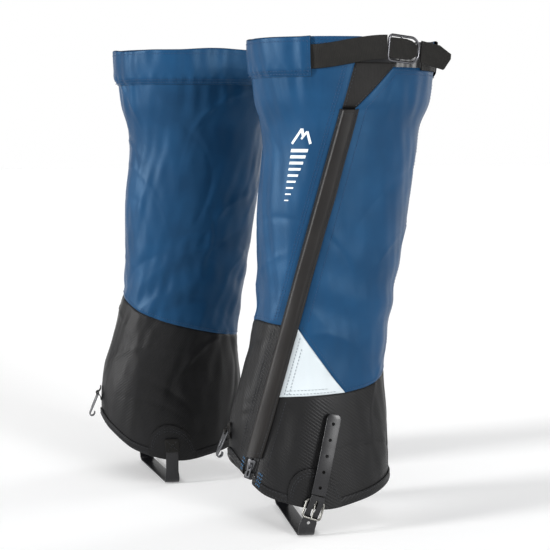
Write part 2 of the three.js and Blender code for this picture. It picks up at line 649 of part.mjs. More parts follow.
function zipSlider() {
  const plates = [1, -1].map((side) =>
    box(SLIDER_WIDTH, SLIDER_LENGTH, SLIDER_PLATE, 0, 0, side * (CHANNEL + SLIDER_PLATE / 2)),
  );
  const web = box(SLIDER_WEB, SLIDER_LENGTH, 2 * CHANNEL + SLIDER_PLATE, 0, 0, 0);
  const sunk = 0.4;
  const postLength = 1.4;
  const postHeight = SLIDER_BRIDGE_ROOM + sunk + 0.2;
  const postEnd = (postLength - SLIDER_BRIDGE_LENGTH) / 2;
  const post = box(SLIDER_BRIDGE_WIDTH, postLength, postHeight, 0, postEnd, SLIDER_TOP + postHeight / 2 - sunk);
  const bridgeMiddle = SLIDER_TOP + SLIDER_BRIDGE_ROOM + SLIDER_BRIDGE / 2;
  const bridge = box(SLIDER_BRIDGE_WIDTH, SLIDER_BRIDGE_LENGTH, SLIDER_BRIDGE, 0, 0, bridgeMiddle);
  return join(...plates, web, post, bridge).applyMatrix4(zipFrame(SLIDER_ABOVE_END));
}

const PULL_LIFT = SLIDER_TOP + 0.4 + PULL_PLATE / 2;
const PULL_PIVOT = 1.3; // above the slider's middle

function zipPull() {
  const outline = roundedOutline(PULL_WIDTH / 2, -PULL_LENGTH + 1, 0.8, 1);
  outline.holes.push(asHole(roundedOutline(1.3, -5.6, -0.6, 0.4)));
  return plate(outline, PULL_PLATE, 2)
    .translate(0, PULL_PIVOT, PULL_LIFT)
    .applyMatrix4(zipFrame(SLIDER_ABOVE_END));
}

function zipEndBox() {
  const middle = END_BOX_TOP - END_BOX_LENGTH / 2;
  return box(END_BOX_WIDTH, END_BOX_LENGTH, END_BOX_DEPTH, 0, middle, 0).applyMatrix4(zipFrame(0));
}

// The flap is ruled between two straight edges, so its sewn edge is a true hinge line.
const flapPoint = (distance, across, lift) => {
  const height = onZip(distance).z;
  return lifted(besideZip(height, across), height, lift);
};
const FLAP_END = ZIP_LENGTH + 1;
const FLAP_EDGE_LIFT = BODY + CLEAR;
const FLAP_FREE_LIFT = BODY + 2 * CLEAR + SAG + THIN;
const flapLine = (across, lift) => [
  flapPoint(FLAP_START, across, lift + FLAP_FOOT_RISE),
  flapPoint(FLAP_END, across, lift),
];
const flapHinge = flapLine(-FLAP_FRONT, FLAP_EDGE_LIFT + THIN / 2);

function stormFlap() {
  const sewn = (lift) => flapLine(-FLAP_FRONT, FLAP_EDGE_LIFT + lift);
  const lines = (lift) => [
    sewn(lift),
    flapLine(-FLAP_CREST_HALF, FLAP_CREST + lift),
    flapLine(FLAP_CREST_HALF, FLAP_CREST + lift),
    flapLine(ZIP_HALF_GAP, FLAP_FREE_LIFT + FLAP_END_RISE + lift),
    flapLine(FLAP_REAR, FLAP_FREE_LIFT + lift),
  ];
  const face = (lift) => {
    const edges = lines(lift);
    return (t, k) => edges[k][0].clone().lerp(edges[k][1], t);
  };
  return slab(evenly(8), [0, 1, 2, 3, 4], face(0), face(THIN));
}

function flapLoopStrip() {
  const start = ZIP_HALF_GAP + half;
  const face = (lift) => (distance, v) => flapPoint(distance, start + v * LOOP_STRIP_WIDTH, lift);
  const low = BODY + CLEAR + SAG / 2;
  return slab(ticks([FLAP_START, FLAP_END - 4], [16]), [0, 1], face(low), face(low + LOOP_STRIP));
}

// ---- the hem ----
const HEM_LIFT = BODY + CLEAR + SAG;

function hemBand() {
  const [front] = hemCorner(-ZIP_HALF_GAP);
  const [rear] = hemCorner(ZIP_HALF_GAP);
  const area = (u, v) => {
    const angle = mix(front, rear - 360, u);
    return [angle, hemHeight(angle) + v * HEM_BAND_HEIGHT];
  };
  return cloth(area, evenly(46), evenly(1), HEM_LIFT, HEM_LIFT + THIN);
}

const PATCH_LIFT = HEM_LIFT + THIN + CLEAR;

function hemPatch(middle) {
  const area = (u, v) => {
    const angle = middle + mix(-PATCH_HALF_ANGLE, PATCH_HALF_ANGLE, u);
    const rise = PATCH_SHOULDER + (PATCH_HEIGHT - PATCH_SHOULDER) * Math.sqrt(1 - (2 * u - 1) ** 2);
    return [angle, hemHeight(angle) + rise * v];
  };
  const columns = evenly(10).map((t) => (1 - Math.cos(Math.PI * t)) / 2);
  return cloth(area, columns, evenly(2), PATCH_LIFT, PATCH_LIFT + THIN);
}

const TAB_LIFT = PATCH_LIFT + THIN + CLEAR;

function innerAnchor() {
  const area = (u, v) => {
    const height = ANCHOR_HEIGHT + (v - 0.5) * ANCHOR_SIZE;
    return [beside(-PATCH_ANGLE, height, (u - 0.5) * ANCHOR_SIZE), height];
  };
  const low = TAB_LIFT + STRAP + CLEAR + SAG;
  return cloth(area, evenly(2), evenly(1), low, low + WEBBING);
}

// ---- the instep strap with its pin buckle ----
// local x towards the heel, y up the strap, z outward; the origin is the middle of the heel bar
const HEEL_BAR_LIFT = TAB_LIFT + PIN_BUCKLE_WIRE + CLEAR + WEBBING + 0.4;
function strapFrame(lean) {
  const up = new THREE.Vector3(0, 0, 1);
  const outward = outwardAt(PATCH_ANGLE, PIN_BUCKLE_HEIGHT).setZ(0).normalize();
  const heelward = new THREE.Vector3().crossVectors(up, outward).normalize();
  const a = toRadians(lean);
  const x = heelward.clone().multiplyScalar(Math.cos(a)).addScaledVector(up, -Math.sin(a));
  const origin = lifted(PATCH_ANGLE, PIN_BUCKLE_HEIGHT, HEEL_BAR_LIFT);
  return frameOf(origin, x, outward);
}
const buckleFrame = strapFrame(BUCKLE_LEAN);

function buckleTab() {
  const loop = PIN_BUCKLE_WIRE + CLEAR;
  const outerLoop = loop + WEBBING;
  const back = TAB_LIFT - HEEL_BAR_LIFT;
  const side = new THREE.Shape([
    ...arc(outerLoop, 30, -180, 8),
    at(back, BUCKLE_TAB_LENGTH * 0.2),
    at(back, BUCKLE_TAB_LENGTH),
    at(back + WEBBING, BUCKLE_TAB_LENGTH),
    at(back + WEBBING, BUCKLE_TAB_LENGTH * 0.3),
  ]);
  side.holes.push(roundHole(loop));
  const tab = plate(side, BUCKLE_TAB_WIDTH, 6).rotateY(-Math.PI / 2);
  const notch = box(2 * PRONG_WIRE + 2 * CLEAR + 0.6, 2 * outerLoop + 3.2, 4 * outerLoop, 0, 0.2, 0);
  return cut(tab, notch).applyMatrix4(buckleFrame);
}

const pinTilt = toRadians(PIN_BUCKLE_TILT);

function pinBuckle() {
  const outline = roundedOutline(PIN_BUCKLE_WIDTH / 2, -PIN_BUCKLE_REACH, 0, 2.2);
  return wireRing(outline, PIN_BUCKLE_WIRE, 32, 6).rotateX(-pinTilt).applyMatrix4(buckleFrame);
}

const PRONG_EYE = PIN_BUCKLE_WIRE + 0.3 + PRONG_WIRE;

function buckleProng() {
  const rise = PIN_BUCKLE_WIRE + PRONG_WIRE + 0.3;
  const tip = PIN_BUCKLE_REACH + 0.8;
  const eye = new THREE.TorusGeometry(PRONG_EYE, PRONG_WIRE, 6, 12).rotateY(Math.PI / 2);
  const start = new THREE.Vector3(0, -PRONG_EYE, 0);
  const end = new THREE.Vector3(0, -tip, rise);
  const shank = rod(PRONG_WIRE, start.distanceTo(end));
  const turn = new THREE.Quaternion().setFromUnitVectors(
    new THREE.Vector3(0, 1, 0),
    start.clone().sub(end).normalize(),
  );
  const middle = start.clone().lerp(end, 0.5);
  shank.applyQuaternion(turn).translate(middle.x, middle.y, middle.z);
  return join(eye, shank).rotateX(-pinTilt).applyMatrix4(buckleFrame);
}

const strapOverBar = PIN_BUCKLE_WIRE + CLEAR + WEBBING + CLEAR + STRAP / 2;
const strapBehindBar = Math.sin(pinTilt) * PIN_BUCKLE_REACH - PIN_BUCKLE_WIRE - CLEAR - STRAP / 2;
const STRAP_SPLIT = 6; // above the heel bar, where the long end begins
const leanChange = toRadians(BUCKLE_LEAN - STRAP_LEAN);
const STRAP_TAIL_START = STRAP_SPLIT + (STRAP_WIDTH / 2) * Math.sin(leanChange) + CLEAR;

// a flat strap through stations, each with its middle, its unit vector across and outward, and half its width
function strapThrough(stations) {
  const face = (side) => (k, v) => {
    const { middle, across, outward, halfWidth } = stations[k];
    const offset = across.clone().multiplyScalar((2 * v - 1) * halfWidth);
    return middle.clone().add(offset).addScaledVector(outward, (side * STRAP) / 2);
  };
  return slab([...stations.keys()], [0, 1], face(-1), face(1));
}

// stations in a strap frame, from [distance up, lift, half width] rows
function flatStations(frame, rows) {
  const across = new THREE.Vector3().setFromMatrixColumn(frame, 0);
  const outward = new THREE.Vector3().setFromMatrixColumn(frame, 2);
  const middle = (up, lift) => new THREE.Vector3(0, up, lift).applyMatrix4(frame);
  return rows.map(([up, lift, halfWidth]) => ({ middle: middle(up, lift), across, outward, halfWidth }));
}

const punch = (up, diameter) => rod(diameter / 2, 24, 8).rotateX(Math.PI / 2).translate(0, up, 0);

// From the pin buckle down, under the foot, and up to the tab on the inner side.
function instepStrap() {
  const halfWidth = STRAP_WIDTH / 2;
  const cosine = Math.cos(toRadians(BUCKLE_LEAN));
  const turnHeight = STRAP_TURN + STRAP / 2;
  const outer = flatStations(buckleFrame, [
    [STRAP_SPLIT, strapOverBar, halfWidth],
    [-1, strapOverBar, halfWidth],
    [-PIN_BUCKLE_REACH, strapBehindBar, halfWidth],
    [-PIN_BUCKLE_REACH - 3, strapBehindBar, STRAP_FOOT_WIDTH / 2],
    [-(PIN_BUCKLE_HEIGHT - turnHeight) / cosine, strapBehindBar, STRAP_FOOT_WIDTH / 2],
  ]);
  const up = new THREE.Vector3(0, 0, 1);
  const outerOut = outer.at(-1).outward;
  const innerEnd = lifted(-PATCH_ANGLE, ANCHOR_HEIGHT, TAB_LIFT + STRAP / 2);
  const innerOut = outwardAt(-PATCH_ANGLE, ANCHOR_HEIGHT).setZ(0).normalize();
  const innerAcross = new THREE.Vector3().crossVectors(innerOut, up);
  // a quarter turn from hanging to lying flat under the foot
  const corner = (top, out, across, angles) =>
    angles.map((degrees) => {
      const a = toRadians(degrees);
      const middle = top.clone().addScaledVector(out, -STRAP_TURN * (1 - Math.cos(a)));
      middle.setZ(turnHeight - STRAP_TURN * Math.sin(a));
      const outward = out.clone().multiplyScalar(Math.cos(a)).setZ(-Math.sin(a));
      return { middle, across, outward, halfWidth: STRAP_FOOT_WIDTH / 2 };
    });
  const innerStation = (height) => {
    return { middle: innerEnd.clone().setZ(height), across: innerAcross, outward: innerOut, halfWidth };
  };
  const stations = [
    ...outer,
    ...corner(outer.at(-1).middle, outerOut, new THREE.Vector3().crossVectors(up, outerOut), [30, 60, 90]),
    ...corner(innerEnd, innerOut, innerAcross, [90, 60, 30, 0]),
    innerStation(ANCHOR_HEIGHT - ANCHOR_SIZE),
    innerStation(ANCHOR_HEIGHT + ANCHOR_SIZE / 2),
  ];
  const slotLength = PIN_BUCKLE_REACH;
  const slot = box(2 * PRONG_WIRE + 2 * CLEAR + 0.4, slotLength, 24, 0, 1.4 - slotLength / 2, 0);
  const hole = punch(-PIN_BUCKLE_REACH - 5, STRAP_HOLE);
  return cut(strapThrough(stations), slot.applyMatrix4(buckleFrame), hole.applyMatrix4(buckleFrame));
}

const strapTailFrame = strapFrame(STRAP_LEAN);

function strapTail() {
  const halfWidth = STRAP_WIDTH / 2;
  const start = STRAP_TAIL_START;
  const end = start + STRAP_TAIL_LENGTH;
  const resting = BODY + 2 * CLEAR + STRAP / 2 - HEEL_BAR_LIFT;
  const stations = flatStations(strapTailFrame, [
    [start, strapOverBar, halfWidth],
    [start + STRAP_TAIL_LENGTH * 0.3, strapOverBar - 0.6, halfWidth],
    [start + STRAP_TAIL_LENGTH * 0.6, mix(strapOverBar, resting, 0.45), halfWidth],
    [end - 4, resting + 0.4, halfWidth],
    [end, resting, halfWidth * 0.6],
  ]);
  const last = end - LAST_HOLE_FROM_END;
  const holes = Array.from({ length: TAIL_HOLES }, (_, k) => punch(last - k * HOLE_PITCH, STRAP_HOLE));
  return cut(strapThrough(stations), ...holes.map((hole) => hole.applyMatrix4(strapTailFrame)));
}

// ---- the lace hook at the front of the hem ----
// local x to the outer side, y up, z outward (to the toe); the origin is the middle of the bar that the loop holds
const hookFrame = (() => {
  const outward = outwardAt(0, HOOK_BAR_HEIGHT).setZ(0).normalize();
  const x = new THREE.Vector3().crossVectors(new THREE.Vector3(0, 0, 1), outward);
  return frameOf(lifted(0, HOOK_BAR_HEIGHT, HOOK_BAR_LIFT), x, outward);
})();

function laceHook() {
  const barHalf = 1.1;
  const slot = 3;
  const outline = roundedOutline(HOOK_WIDTH / 2, -HOOK_LENGTH + barHalf, barHalf, 2);
  const loopSlot = roundedOutline(HOOK_LOOP_WIDTH / 2 + 0.6, -barHalf - slot, -barHalf, 0.5);
  const window = roundedOutline(1.4, -HOOK_LENGTH * 0.68, -HOOK_LENGTH * 0.34, 0.6);
  outline.holes.push(asHole(loopSlot), asHole(window));
  const sheet = plate(outline, HOOK_PLATE, 3);
  const curl = new THREE.Shape([...arc(HOOK_CURL, 90, -90, 8), ...arc(HOOK_CURL - HOOK_PLATE, -90, 90, 8)]);
  const hook = plate(curl, HOOK_WIDTH * 0.5, 6)
    .rotateZ(-Math.PI / 2)
    .rotateY(-Math.PI / 2)
    .translate(0, -HOOK_LENGTH + barHalf + 0.6, -HOOK_CURL + HOOK_PLATE / 2);
  return join(sheet, hook).rotateX(-toRadians(HOOK_TILT)).applyMatrix4(hookFrame);
}

function hookLoop() {
  const ring = 1.7;
  const wide = ring + THIN;
  const back = BODY + CLEAR - HOOK_BAR_LIFT;
  const side = new THREE.Shape([...arc(wide, -90, 90, 8), at(back + THIN, 8), at(back, 8), at(back, -8)]);
  side.holes.push(roundHole(ring));
  return plate(side, HOOK_LOOP_WIDTH, 6).rotateY(-Math.PI / 2).applyMatrix4(hookFrame);
}

// ---- materials and assembly ----
const material = (color, roughness, metalness = 0) =>
  new THREE.MeshStandardMaterial({ color, roughness, metalness });
const upperCloth = material(0x2f5a87, 0.6);
const lowerCloth = material(0x2d2d2e, 0.75);
const blackWebbing = material(0x2e2c29, 0.8);
const stretchCloth = material(0x333334, 0.7);
const flapCloth = material(0x353230, 0.75);
const reflective = material(0xe8eff2, 0.4);
const zipPlastic = material(0x1b1c1e, 0.45);
const strapPlastic = material(0x58585a, 0.5);
const steel = material(0xb9b9b9, 0.3, 1);
const darkSteel = material(0x5a5a5a, 0.35, 1);

const parts = {
  upper_front_panel: [upperFrontPanel(), upperCloth],
  upper_rear_panel: [upperRearPanel(), upperCloth],
  lower_front_panel: [lowerFrontPanel(), lowerCloth],
  lower_rear_panel: [lowerRearPanel(), lowerCloth],
  reflective_triangle: [reflectiveTriangle(), reflective],
  stretch_gusset: [stretchGusset(), stretchCloth],
  top_casing: [topCasing(), upperCloth],
  top_webbing: [topWebbing(), blackWebbing],
  top_buckle: [topBuckle(), darkSteel],
  buckle_lacing: [buckleLacing(), blackWebbing],
  webbing_tail: [webbingTail(), blackWebbing],
  zip_side_front: [zipSide(-1), zipPlastic],
  zip_side_rear: [zipSide(1), zipPlastic],
  zip_slider: [zipSlider(), steel],
  zip_pull: [zipPull(), steel],
  zip_end_box: [zipEndBox(), zipPlastic],
  storm_flap: [stormFlap(), flapCloth],
  flap_loop_strip: [flapLoopStrip(), flapCloth],
  hem_band: [hemBand(), lowerCloth],
  outer_patch: [hemPatch(PATCH_ANGLE), lowerCloth],
  inner_patch: [hemPatch(-PATCH_ANGLE), lowerCloth],
  inner_anchor: [innerAnchor(), blackWebbing],
  buckle_tab: [buckleTab(), blackWebbing],
  pin_buckle: [pinBuckle(), steel],
  buckle_prong: [buckleProng(), steel],
  instep_strap: [instepStrap(), strapPlastic],
  strap_tail: [strapTail(), strapPlastic],
  lace_hook: [laceHook(), steel],
  hook_loop: [hookLoop(), blackWebbing],
};

function mirrored(geometry) {
  const copy = geometry.index ? geometry.clone() : mergeVertices(geometry);
  copy.scale(1, -1, 1);
  const order = copy.index.array;
  for (let k = 0; k < order.length; k += 3) {
    [order[k + 1], order[k + 2]] = [order[k + 2], order[k + 1]];
  }
  return copy;
}

// Hinge and slide lines of the left gaiter, in its own frame: a point and a direction for each.
const across = (frame) => new THREE.Vector3().setFromMatrixColumn(frame, 0);
const upright = (frame) => new THREE.Vector3().setFromMatrixColumn(frame, 1);
const inFrame = (frame, x, y, z) => new THREE.Vector3(x, y, z).applyMatrix4(frame);
const motions = {
  strap_under: inFrame(buckleFrame, 0, -PIN_BUCKLE_HEIGHT, strapBehindBar).setY(0).setZ(0),
  zip_slider: [onZip(SLIDER_ABOVE_END), zipUp, TEETH_END - SLIDER_ABOVE_END - SLIDER_LENGTH / 2],
  zip_pull: [inFrame(zipFrame(SLIDER_ABOVE_END), 0, PULL_PIVOT, PULL_LIFT), zipRearward],
  storm_flap: [flapHinge[0], flapHinge[1].clone().sub(flapHinge[0]).normalize()],
  top_buckle: [inFrame(topBuckleFrame, TOP_BUCKLE_LENGTH - TOP_BUCKLE_WIRE, 0, 0), upright(topBuckleFrame)],
  webbing_tail: [inFrame(topBuckleFrame, TOP_BUCKLE_LENGTH + CLEAR / 2, 0, 0), upright(topBuckleFrame)],
  pin_buckle: [inFrame(buckleFrame, 0, 0, 0), across(buckleFrame)],
  strap_tail: [inFrame(strapTailFrame, 0, STRAP_TAIL_START, strapOverBar + STRAP / 2), across(strapTailFrame)],
  lace_hook: [inFrame(hookFrame, 0, 0, 0), across(hookFrame)],
};

const gaiters = new THREE.Group();
gaiters.userData.motions = motions;
for (const side of ["left", "right"]) {
  const gaiter = new THREE.Group();
  const sign = side === "left" ? 1 : -1;
  gaiter.position.set((sign * STEP_LENGTH) / 2, (-sign * STANCE_WIDTH) / 2, 0);
  for (const [name, [geometry, finish]] of Object.entries(parts)) {
    const mesh = new THREE.Mesh(side === "left" ? geometry : mirrored(geometry), finish);
    mesh.name = `${side}_${name}`;
    gaiter.add(mesh);
  }
  gaiters.add(gaiter);
}

export default gaiters;
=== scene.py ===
import bmesh
import bpy
import math
import numpy as np
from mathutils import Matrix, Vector


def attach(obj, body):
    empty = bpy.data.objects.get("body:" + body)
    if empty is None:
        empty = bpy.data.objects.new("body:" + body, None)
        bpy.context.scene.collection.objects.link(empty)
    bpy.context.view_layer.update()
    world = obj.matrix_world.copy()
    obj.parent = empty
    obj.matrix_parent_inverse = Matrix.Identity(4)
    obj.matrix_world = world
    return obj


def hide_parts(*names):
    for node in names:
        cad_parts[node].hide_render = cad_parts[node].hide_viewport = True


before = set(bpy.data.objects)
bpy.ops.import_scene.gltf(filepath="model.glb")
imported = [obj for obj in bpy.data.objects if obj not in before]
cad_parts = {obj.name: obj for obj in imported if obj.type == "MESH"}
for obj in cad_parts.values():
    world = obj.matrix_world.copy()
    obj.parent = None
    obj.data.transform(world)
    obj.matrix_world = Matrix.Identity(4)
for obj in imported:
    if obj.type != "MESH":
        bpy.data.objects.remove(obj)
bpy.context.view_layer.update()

# A pair of snow gaiters, each cut from four cloth panels round the leg. Sizes here are in millimetres in the
# gaiter's own frame (leg axis at x 0, y 0, ground at z 0) and become metres where a mesh is made. Angles run
# round the leg: 0 the toe side, 90 the outer side, 180 the heel, -90 the inner side.

# ---- the gaiter's sizes ----
STANCE_WIDTH, STEP_LENGTH = 224, 93
RIM_HEIGHT, RIM_LENGTH, RIM_WIDTH = 463, 180, 124
CALF_LENGTH, CALF_WIDTH = 147, 110
ANKLE_LENGTH, ANKLE_WIDTH = 131, 102
HEM_LENGTH, HEM_WIDTH, HEM_SIDE_HEIGHT = 156, 112, 25
HEM_FRONT_RISE, HEM_HEEL_RISE = 43, 17
REAR_RIM_HEIGHT = RIM_HEIGHT - 27
CLOTH = 1.2
THIN = 0.8
SEAM_FRONT_HEIGHT, SEAM_HEEL_HEIGHT, SEAM_OUTER_HEIGHT = 199, 150, 133
TRIANGLE_TOP, TRIANGLE_CORNER, TRIANGLE_TIP_ANGLE = 197, 130, 106
UPPER_BACK_SEAM, LOWER_BACK_SEAM = 170, 155
ZIP_BOTTOM_HEIGHT, ZIP_BOTTOM_ANGLE, ZIP_TOP_ANGLE, ZIP_EASE = 56, 31, 81, 28
ZIP_TOP_HEIGHT = RIM_HEIGHT - 66
ZIP_HALF_GAP = 6.5
GUSSET_FOOT = ZIP_TOP_HEIGHT + 2
GUSSET_TOP = RIM_HEIGHT - 23
CASING_FOOT = RIM_HEIGHT - 36
CASING_END_ANGLE = 57
WEBBING_WIDTH = 22
SEAM = 0.1


def curve_through(points):
    """A smooth curve through [x, y] points, with x rising."""
    xs, ys = np.array(points, float).T
    k = np.arange(len(xs))
    before, after = np.maximum(k - 1, 0), np.minimum(k + 1, len(xs) - 1)
    slopes = (ys[after] - ys[before]) / (xs[after] - xs[before])

    def value(x):
        x = np.asarray(x, float)
        i = np.clip(np.searchsorted(xs, x) - 1, 0, len(xs) - 2)
        span = xs[i + 1] - xs[i]
        t = (x - xs[i]) / span
        swing = slopes[i] * t * (1 - t) ** 2 - slopes[i + 1] * t * t * (1 - t)
        return ys[i] + (ys[i + 1] - ys[i]) * t * t * (3 - 2 * t) + swing * span

    return value


def share(part):
    return HEM_SIDE_HEIGHT + (RIM_HEIGHT - HEM_SIDE_HEIGHT) * part


SECTIONS = [
    (share(0), -8, HEM_LENGTH, HEM_WIDTH),
    (share(0.096), -11, HEM_LENGTH, HEM_WIDTH - 2),
    (share(0.187), -11, HEM_LENGTH - 4, HEM_WIDTH - 7),
    (share(0.29), -6, ANKLE_LENGTH + 5, ANKLE_WIDTH - 1),
    (share(0.416), 4, ANKLE_LENGTH, ANKLE_WIDTH),
    (share(0.53), 9.5, CALF_LENGTH - 8, CALF_WIDTH - 4),
    (share(0.644), 14, CALF_LENGTH, CALF_WIDTH),
    (share(0.758), 20.5, CALF_LENGTH + 2, CALF_WIDTH + 2),
    (share(0.817), 21, RIM_LENGTH - 26, RIM_WIDTH - 10),
    (share(0.872), 23, RIM_LENGTH - 10, RIM_WIDTH - 2),
    (share(1), 23.5, RIM_LENGTH, RIM_WIDTH),
]
centre_at, length_at, width_at = (curve_through([(row[0], row[k]) for row in SECTIONS]) for k in (1, 2, 3))


def on_oval(angle, height):
    a = np.radians(angle)
    x = centre_at(height) - length_at(height) / 2 * np.cos(a)
    y = -width_at(height) / 2 * np.sin(a)
    return np.stack(np.broadcast_arrays(x, y, np.asarray(height, float)), -1)


zip_bottom = on_oval(ZIP_BOTTOM_ANGLE, ZIP_BOTTOM_HEIGHT)
zip_top = on_oval(ZIP_TOP_ANGLE, ZIP_TOP_HEIGHT)
zip_run = zip_top - zip_bottom
ZIP_LENGTH = float(np.linalg.norm(zip_run))
zip_up = zip_run / ZIP_LENGTH


def unit(v):
    return v / np.linalg.norm(v, axis=-1, keepdims=True)


def on_zip(distance):
    return zip_bottom + np.asarray(distance, float)[..., None] * zip_up


def zip_at_height(height):
    return on_zip((np.asarray(height, float) - ZIP_BOTTOM_HEIGHT) / zip_up[2])


def zip_angle(height):
    point = zip_at_height(np.clip(height, 0, ZIP_TOP_HEIGHT))
    z = point[..., 2]
    return np.degrees(
        np.arctan2(-point[..., 1] / width_at(z), -(point[..., 0] - centre_at(z)) / length_at(z))
    )


def away_from_zip(angle, height):
    return (angle - zip_angle(height) + 180) % 360 - 180


def on_leg(angle, height):
    angle, height = np.broadcast_arrays(np.asarray(angle, float), np.asarray(height, float))
    ease = np.exp(-((away_from_zip(angle, height) / ZIP_EASE) ** 4)) * (height <= ZIP_TOP_HEIGHT)
    shift = zip_at_height(height) - on_oval(zip_angle(height), height)
    return on_oval(angle, height) + shift * ease[..., None]


def outward_at(angle, height):
    angle, height = np.asarray(angle, float), np.asarray(height, float)
    round_ = on_leg(angle + 0.5, height) - on_leg(angle - 0.5, height)
    up = on_leg(angle, height + 0.5) - on_leg(angle, height - 0.5)
    return unit(np.cross(round_, up))


def beside(angle, height, distance):
    """The angle that lies some millimetres round the leg from the given one."""
    per_degree = np.linalg.norm(on_leg(angle + 0.5, height) - on_leg(angle - 0.5, height), axis=-1)
    return angle + distance / per_degree


def beside_zip(height, distance):
    return beside(zip_angle(height), height, distance)


def lifted(angle, height, lift):
    return on_leg(angle, height) + outward_at(angle, height) * np.asarray(lift, float)[..., None]


# ---- the edges of the panels ----
HEM_POINTS = [(-25, 0.7), (0, 1), (25, 0.7), (50, 0.27)]
hem_curve = curve_through(
    [(a, HEM_SIDE_HEIGHT + HEM_FRONT_RISE * part) for a, part in HEM_POINTS]
    + [(85, HEM_SIDE_HEIGHT)]
    + [(a, HEM_SIDE_HEIGHT + HEM_HEEL_RISE * part) for a, part in [(115, 0.27), (180, 1), (245, 0.27)]]
)


def hem_height(angle):
    return hem_curve(np.abs((np.asarray(angle, float) + 180) % 360 - 180))


def part_way(low, high, part):
    return low + (high - low) * part


seam_curve = curve_through(
    [
        (TRIANGLE_TIP_ANGLE - 360, SEAM_OUTER_HEIGHT),
        (-230, part_way(SEAM_OUTER_HEIGHT, SEAM_HEEL_HEIGHT, 0.25)),
        (-190, SEAM_HEEL_HEIGHT),
        (-130, part_way(SEAM_HEEL_HEIGHT, SEAM_FRONT_HEIGHT, 0.17)),
        (-80, part_way(SEAM_HEEL_HEIGHT, SEAM_FRONT_HEIGHT, 0.43)),
        (-40, part_way(SEAM_HEEL_HEIGHT, SEAM_FRONT_HEIGHT, 0.7)),
        (0, SEAM_FRONT_HEIGHT),
        (56, TRIANGLE_TOP),
    ]
)


def seam_height(angle):
    angle = np.asarray(angle, float)
    return seam_curve(np.minimum(np.where(angle > TRIANGLE_TIP_ANGLE - 1, angle - 360, angle), 56))


def opening_edge(height, distance, top_angle):
    height = np.asarray(height, float)
    low = beside_zip(np.minimum(height, GUSSET_FOOT), distance)
    foot = beside_zip(np.array(float(GUSSET_FOOT)), distance)
    high = part_way(foot, top_angle, (height - GUSSET_FOOT) / (GUSSET_TOP - GUSSET_FOOT))
    return np.where(height <= GUSSET_FOOT, low, high)


def front_edge(height):
    return opening_edge(height, -ZIP_HALF_GAP, 84)


def rear_edge(height):
    return opening_edge(height, ZIP_HALF_GAP, 111.5)


def hem_corner(distance):
    height = np.array(float(ZIP_BOTTOM_HEIGHT))
    for _ in range(8):
        height = hem_height(beside_zip(height, distance))
    return float(beside_zip(height, distance)), float(height)


def rising(angle_at, low, high):
    return lambda t: (angle_at(part_way(low, high, t)) + 0 * t, part_way(low, high, t))


def level(start, end, height_at):
    return lambda t: (part_way(start, end, t), height_at(part_way(start, end, t)) + 0 * t)


def in_two(first, second, knee):
    def edge(t):
        low = first(np.clip(t / knee, 0, 1))
        high = second(np.clip((t - knee) / (1 - knee), 0, 1))
        return tuple(np.where(t <= knee, a, b) for a, b in zip(low, high))

    return edge


def between(left, right, bottom, top):
    """Fills the space between four edges: angles and heights on a grid of u round the leg and v up it."""

    def area(u, v):
        zero, one = np.zeros(1), np.ones(1)
        filled = []
        for k in (0, 1):
            ruled = part_way(bottom(u)[k], top(u)[k], v) + part_way(left(v)[k], right(v)[k], u)
            low = part_way(bottom(zero)[k], bottom(one)[k], u)
            high = part_way(top(zero)[k], top(one)[k], u)
            filled.append(ruled - part_way(low, high, v))
        return filled

    return area


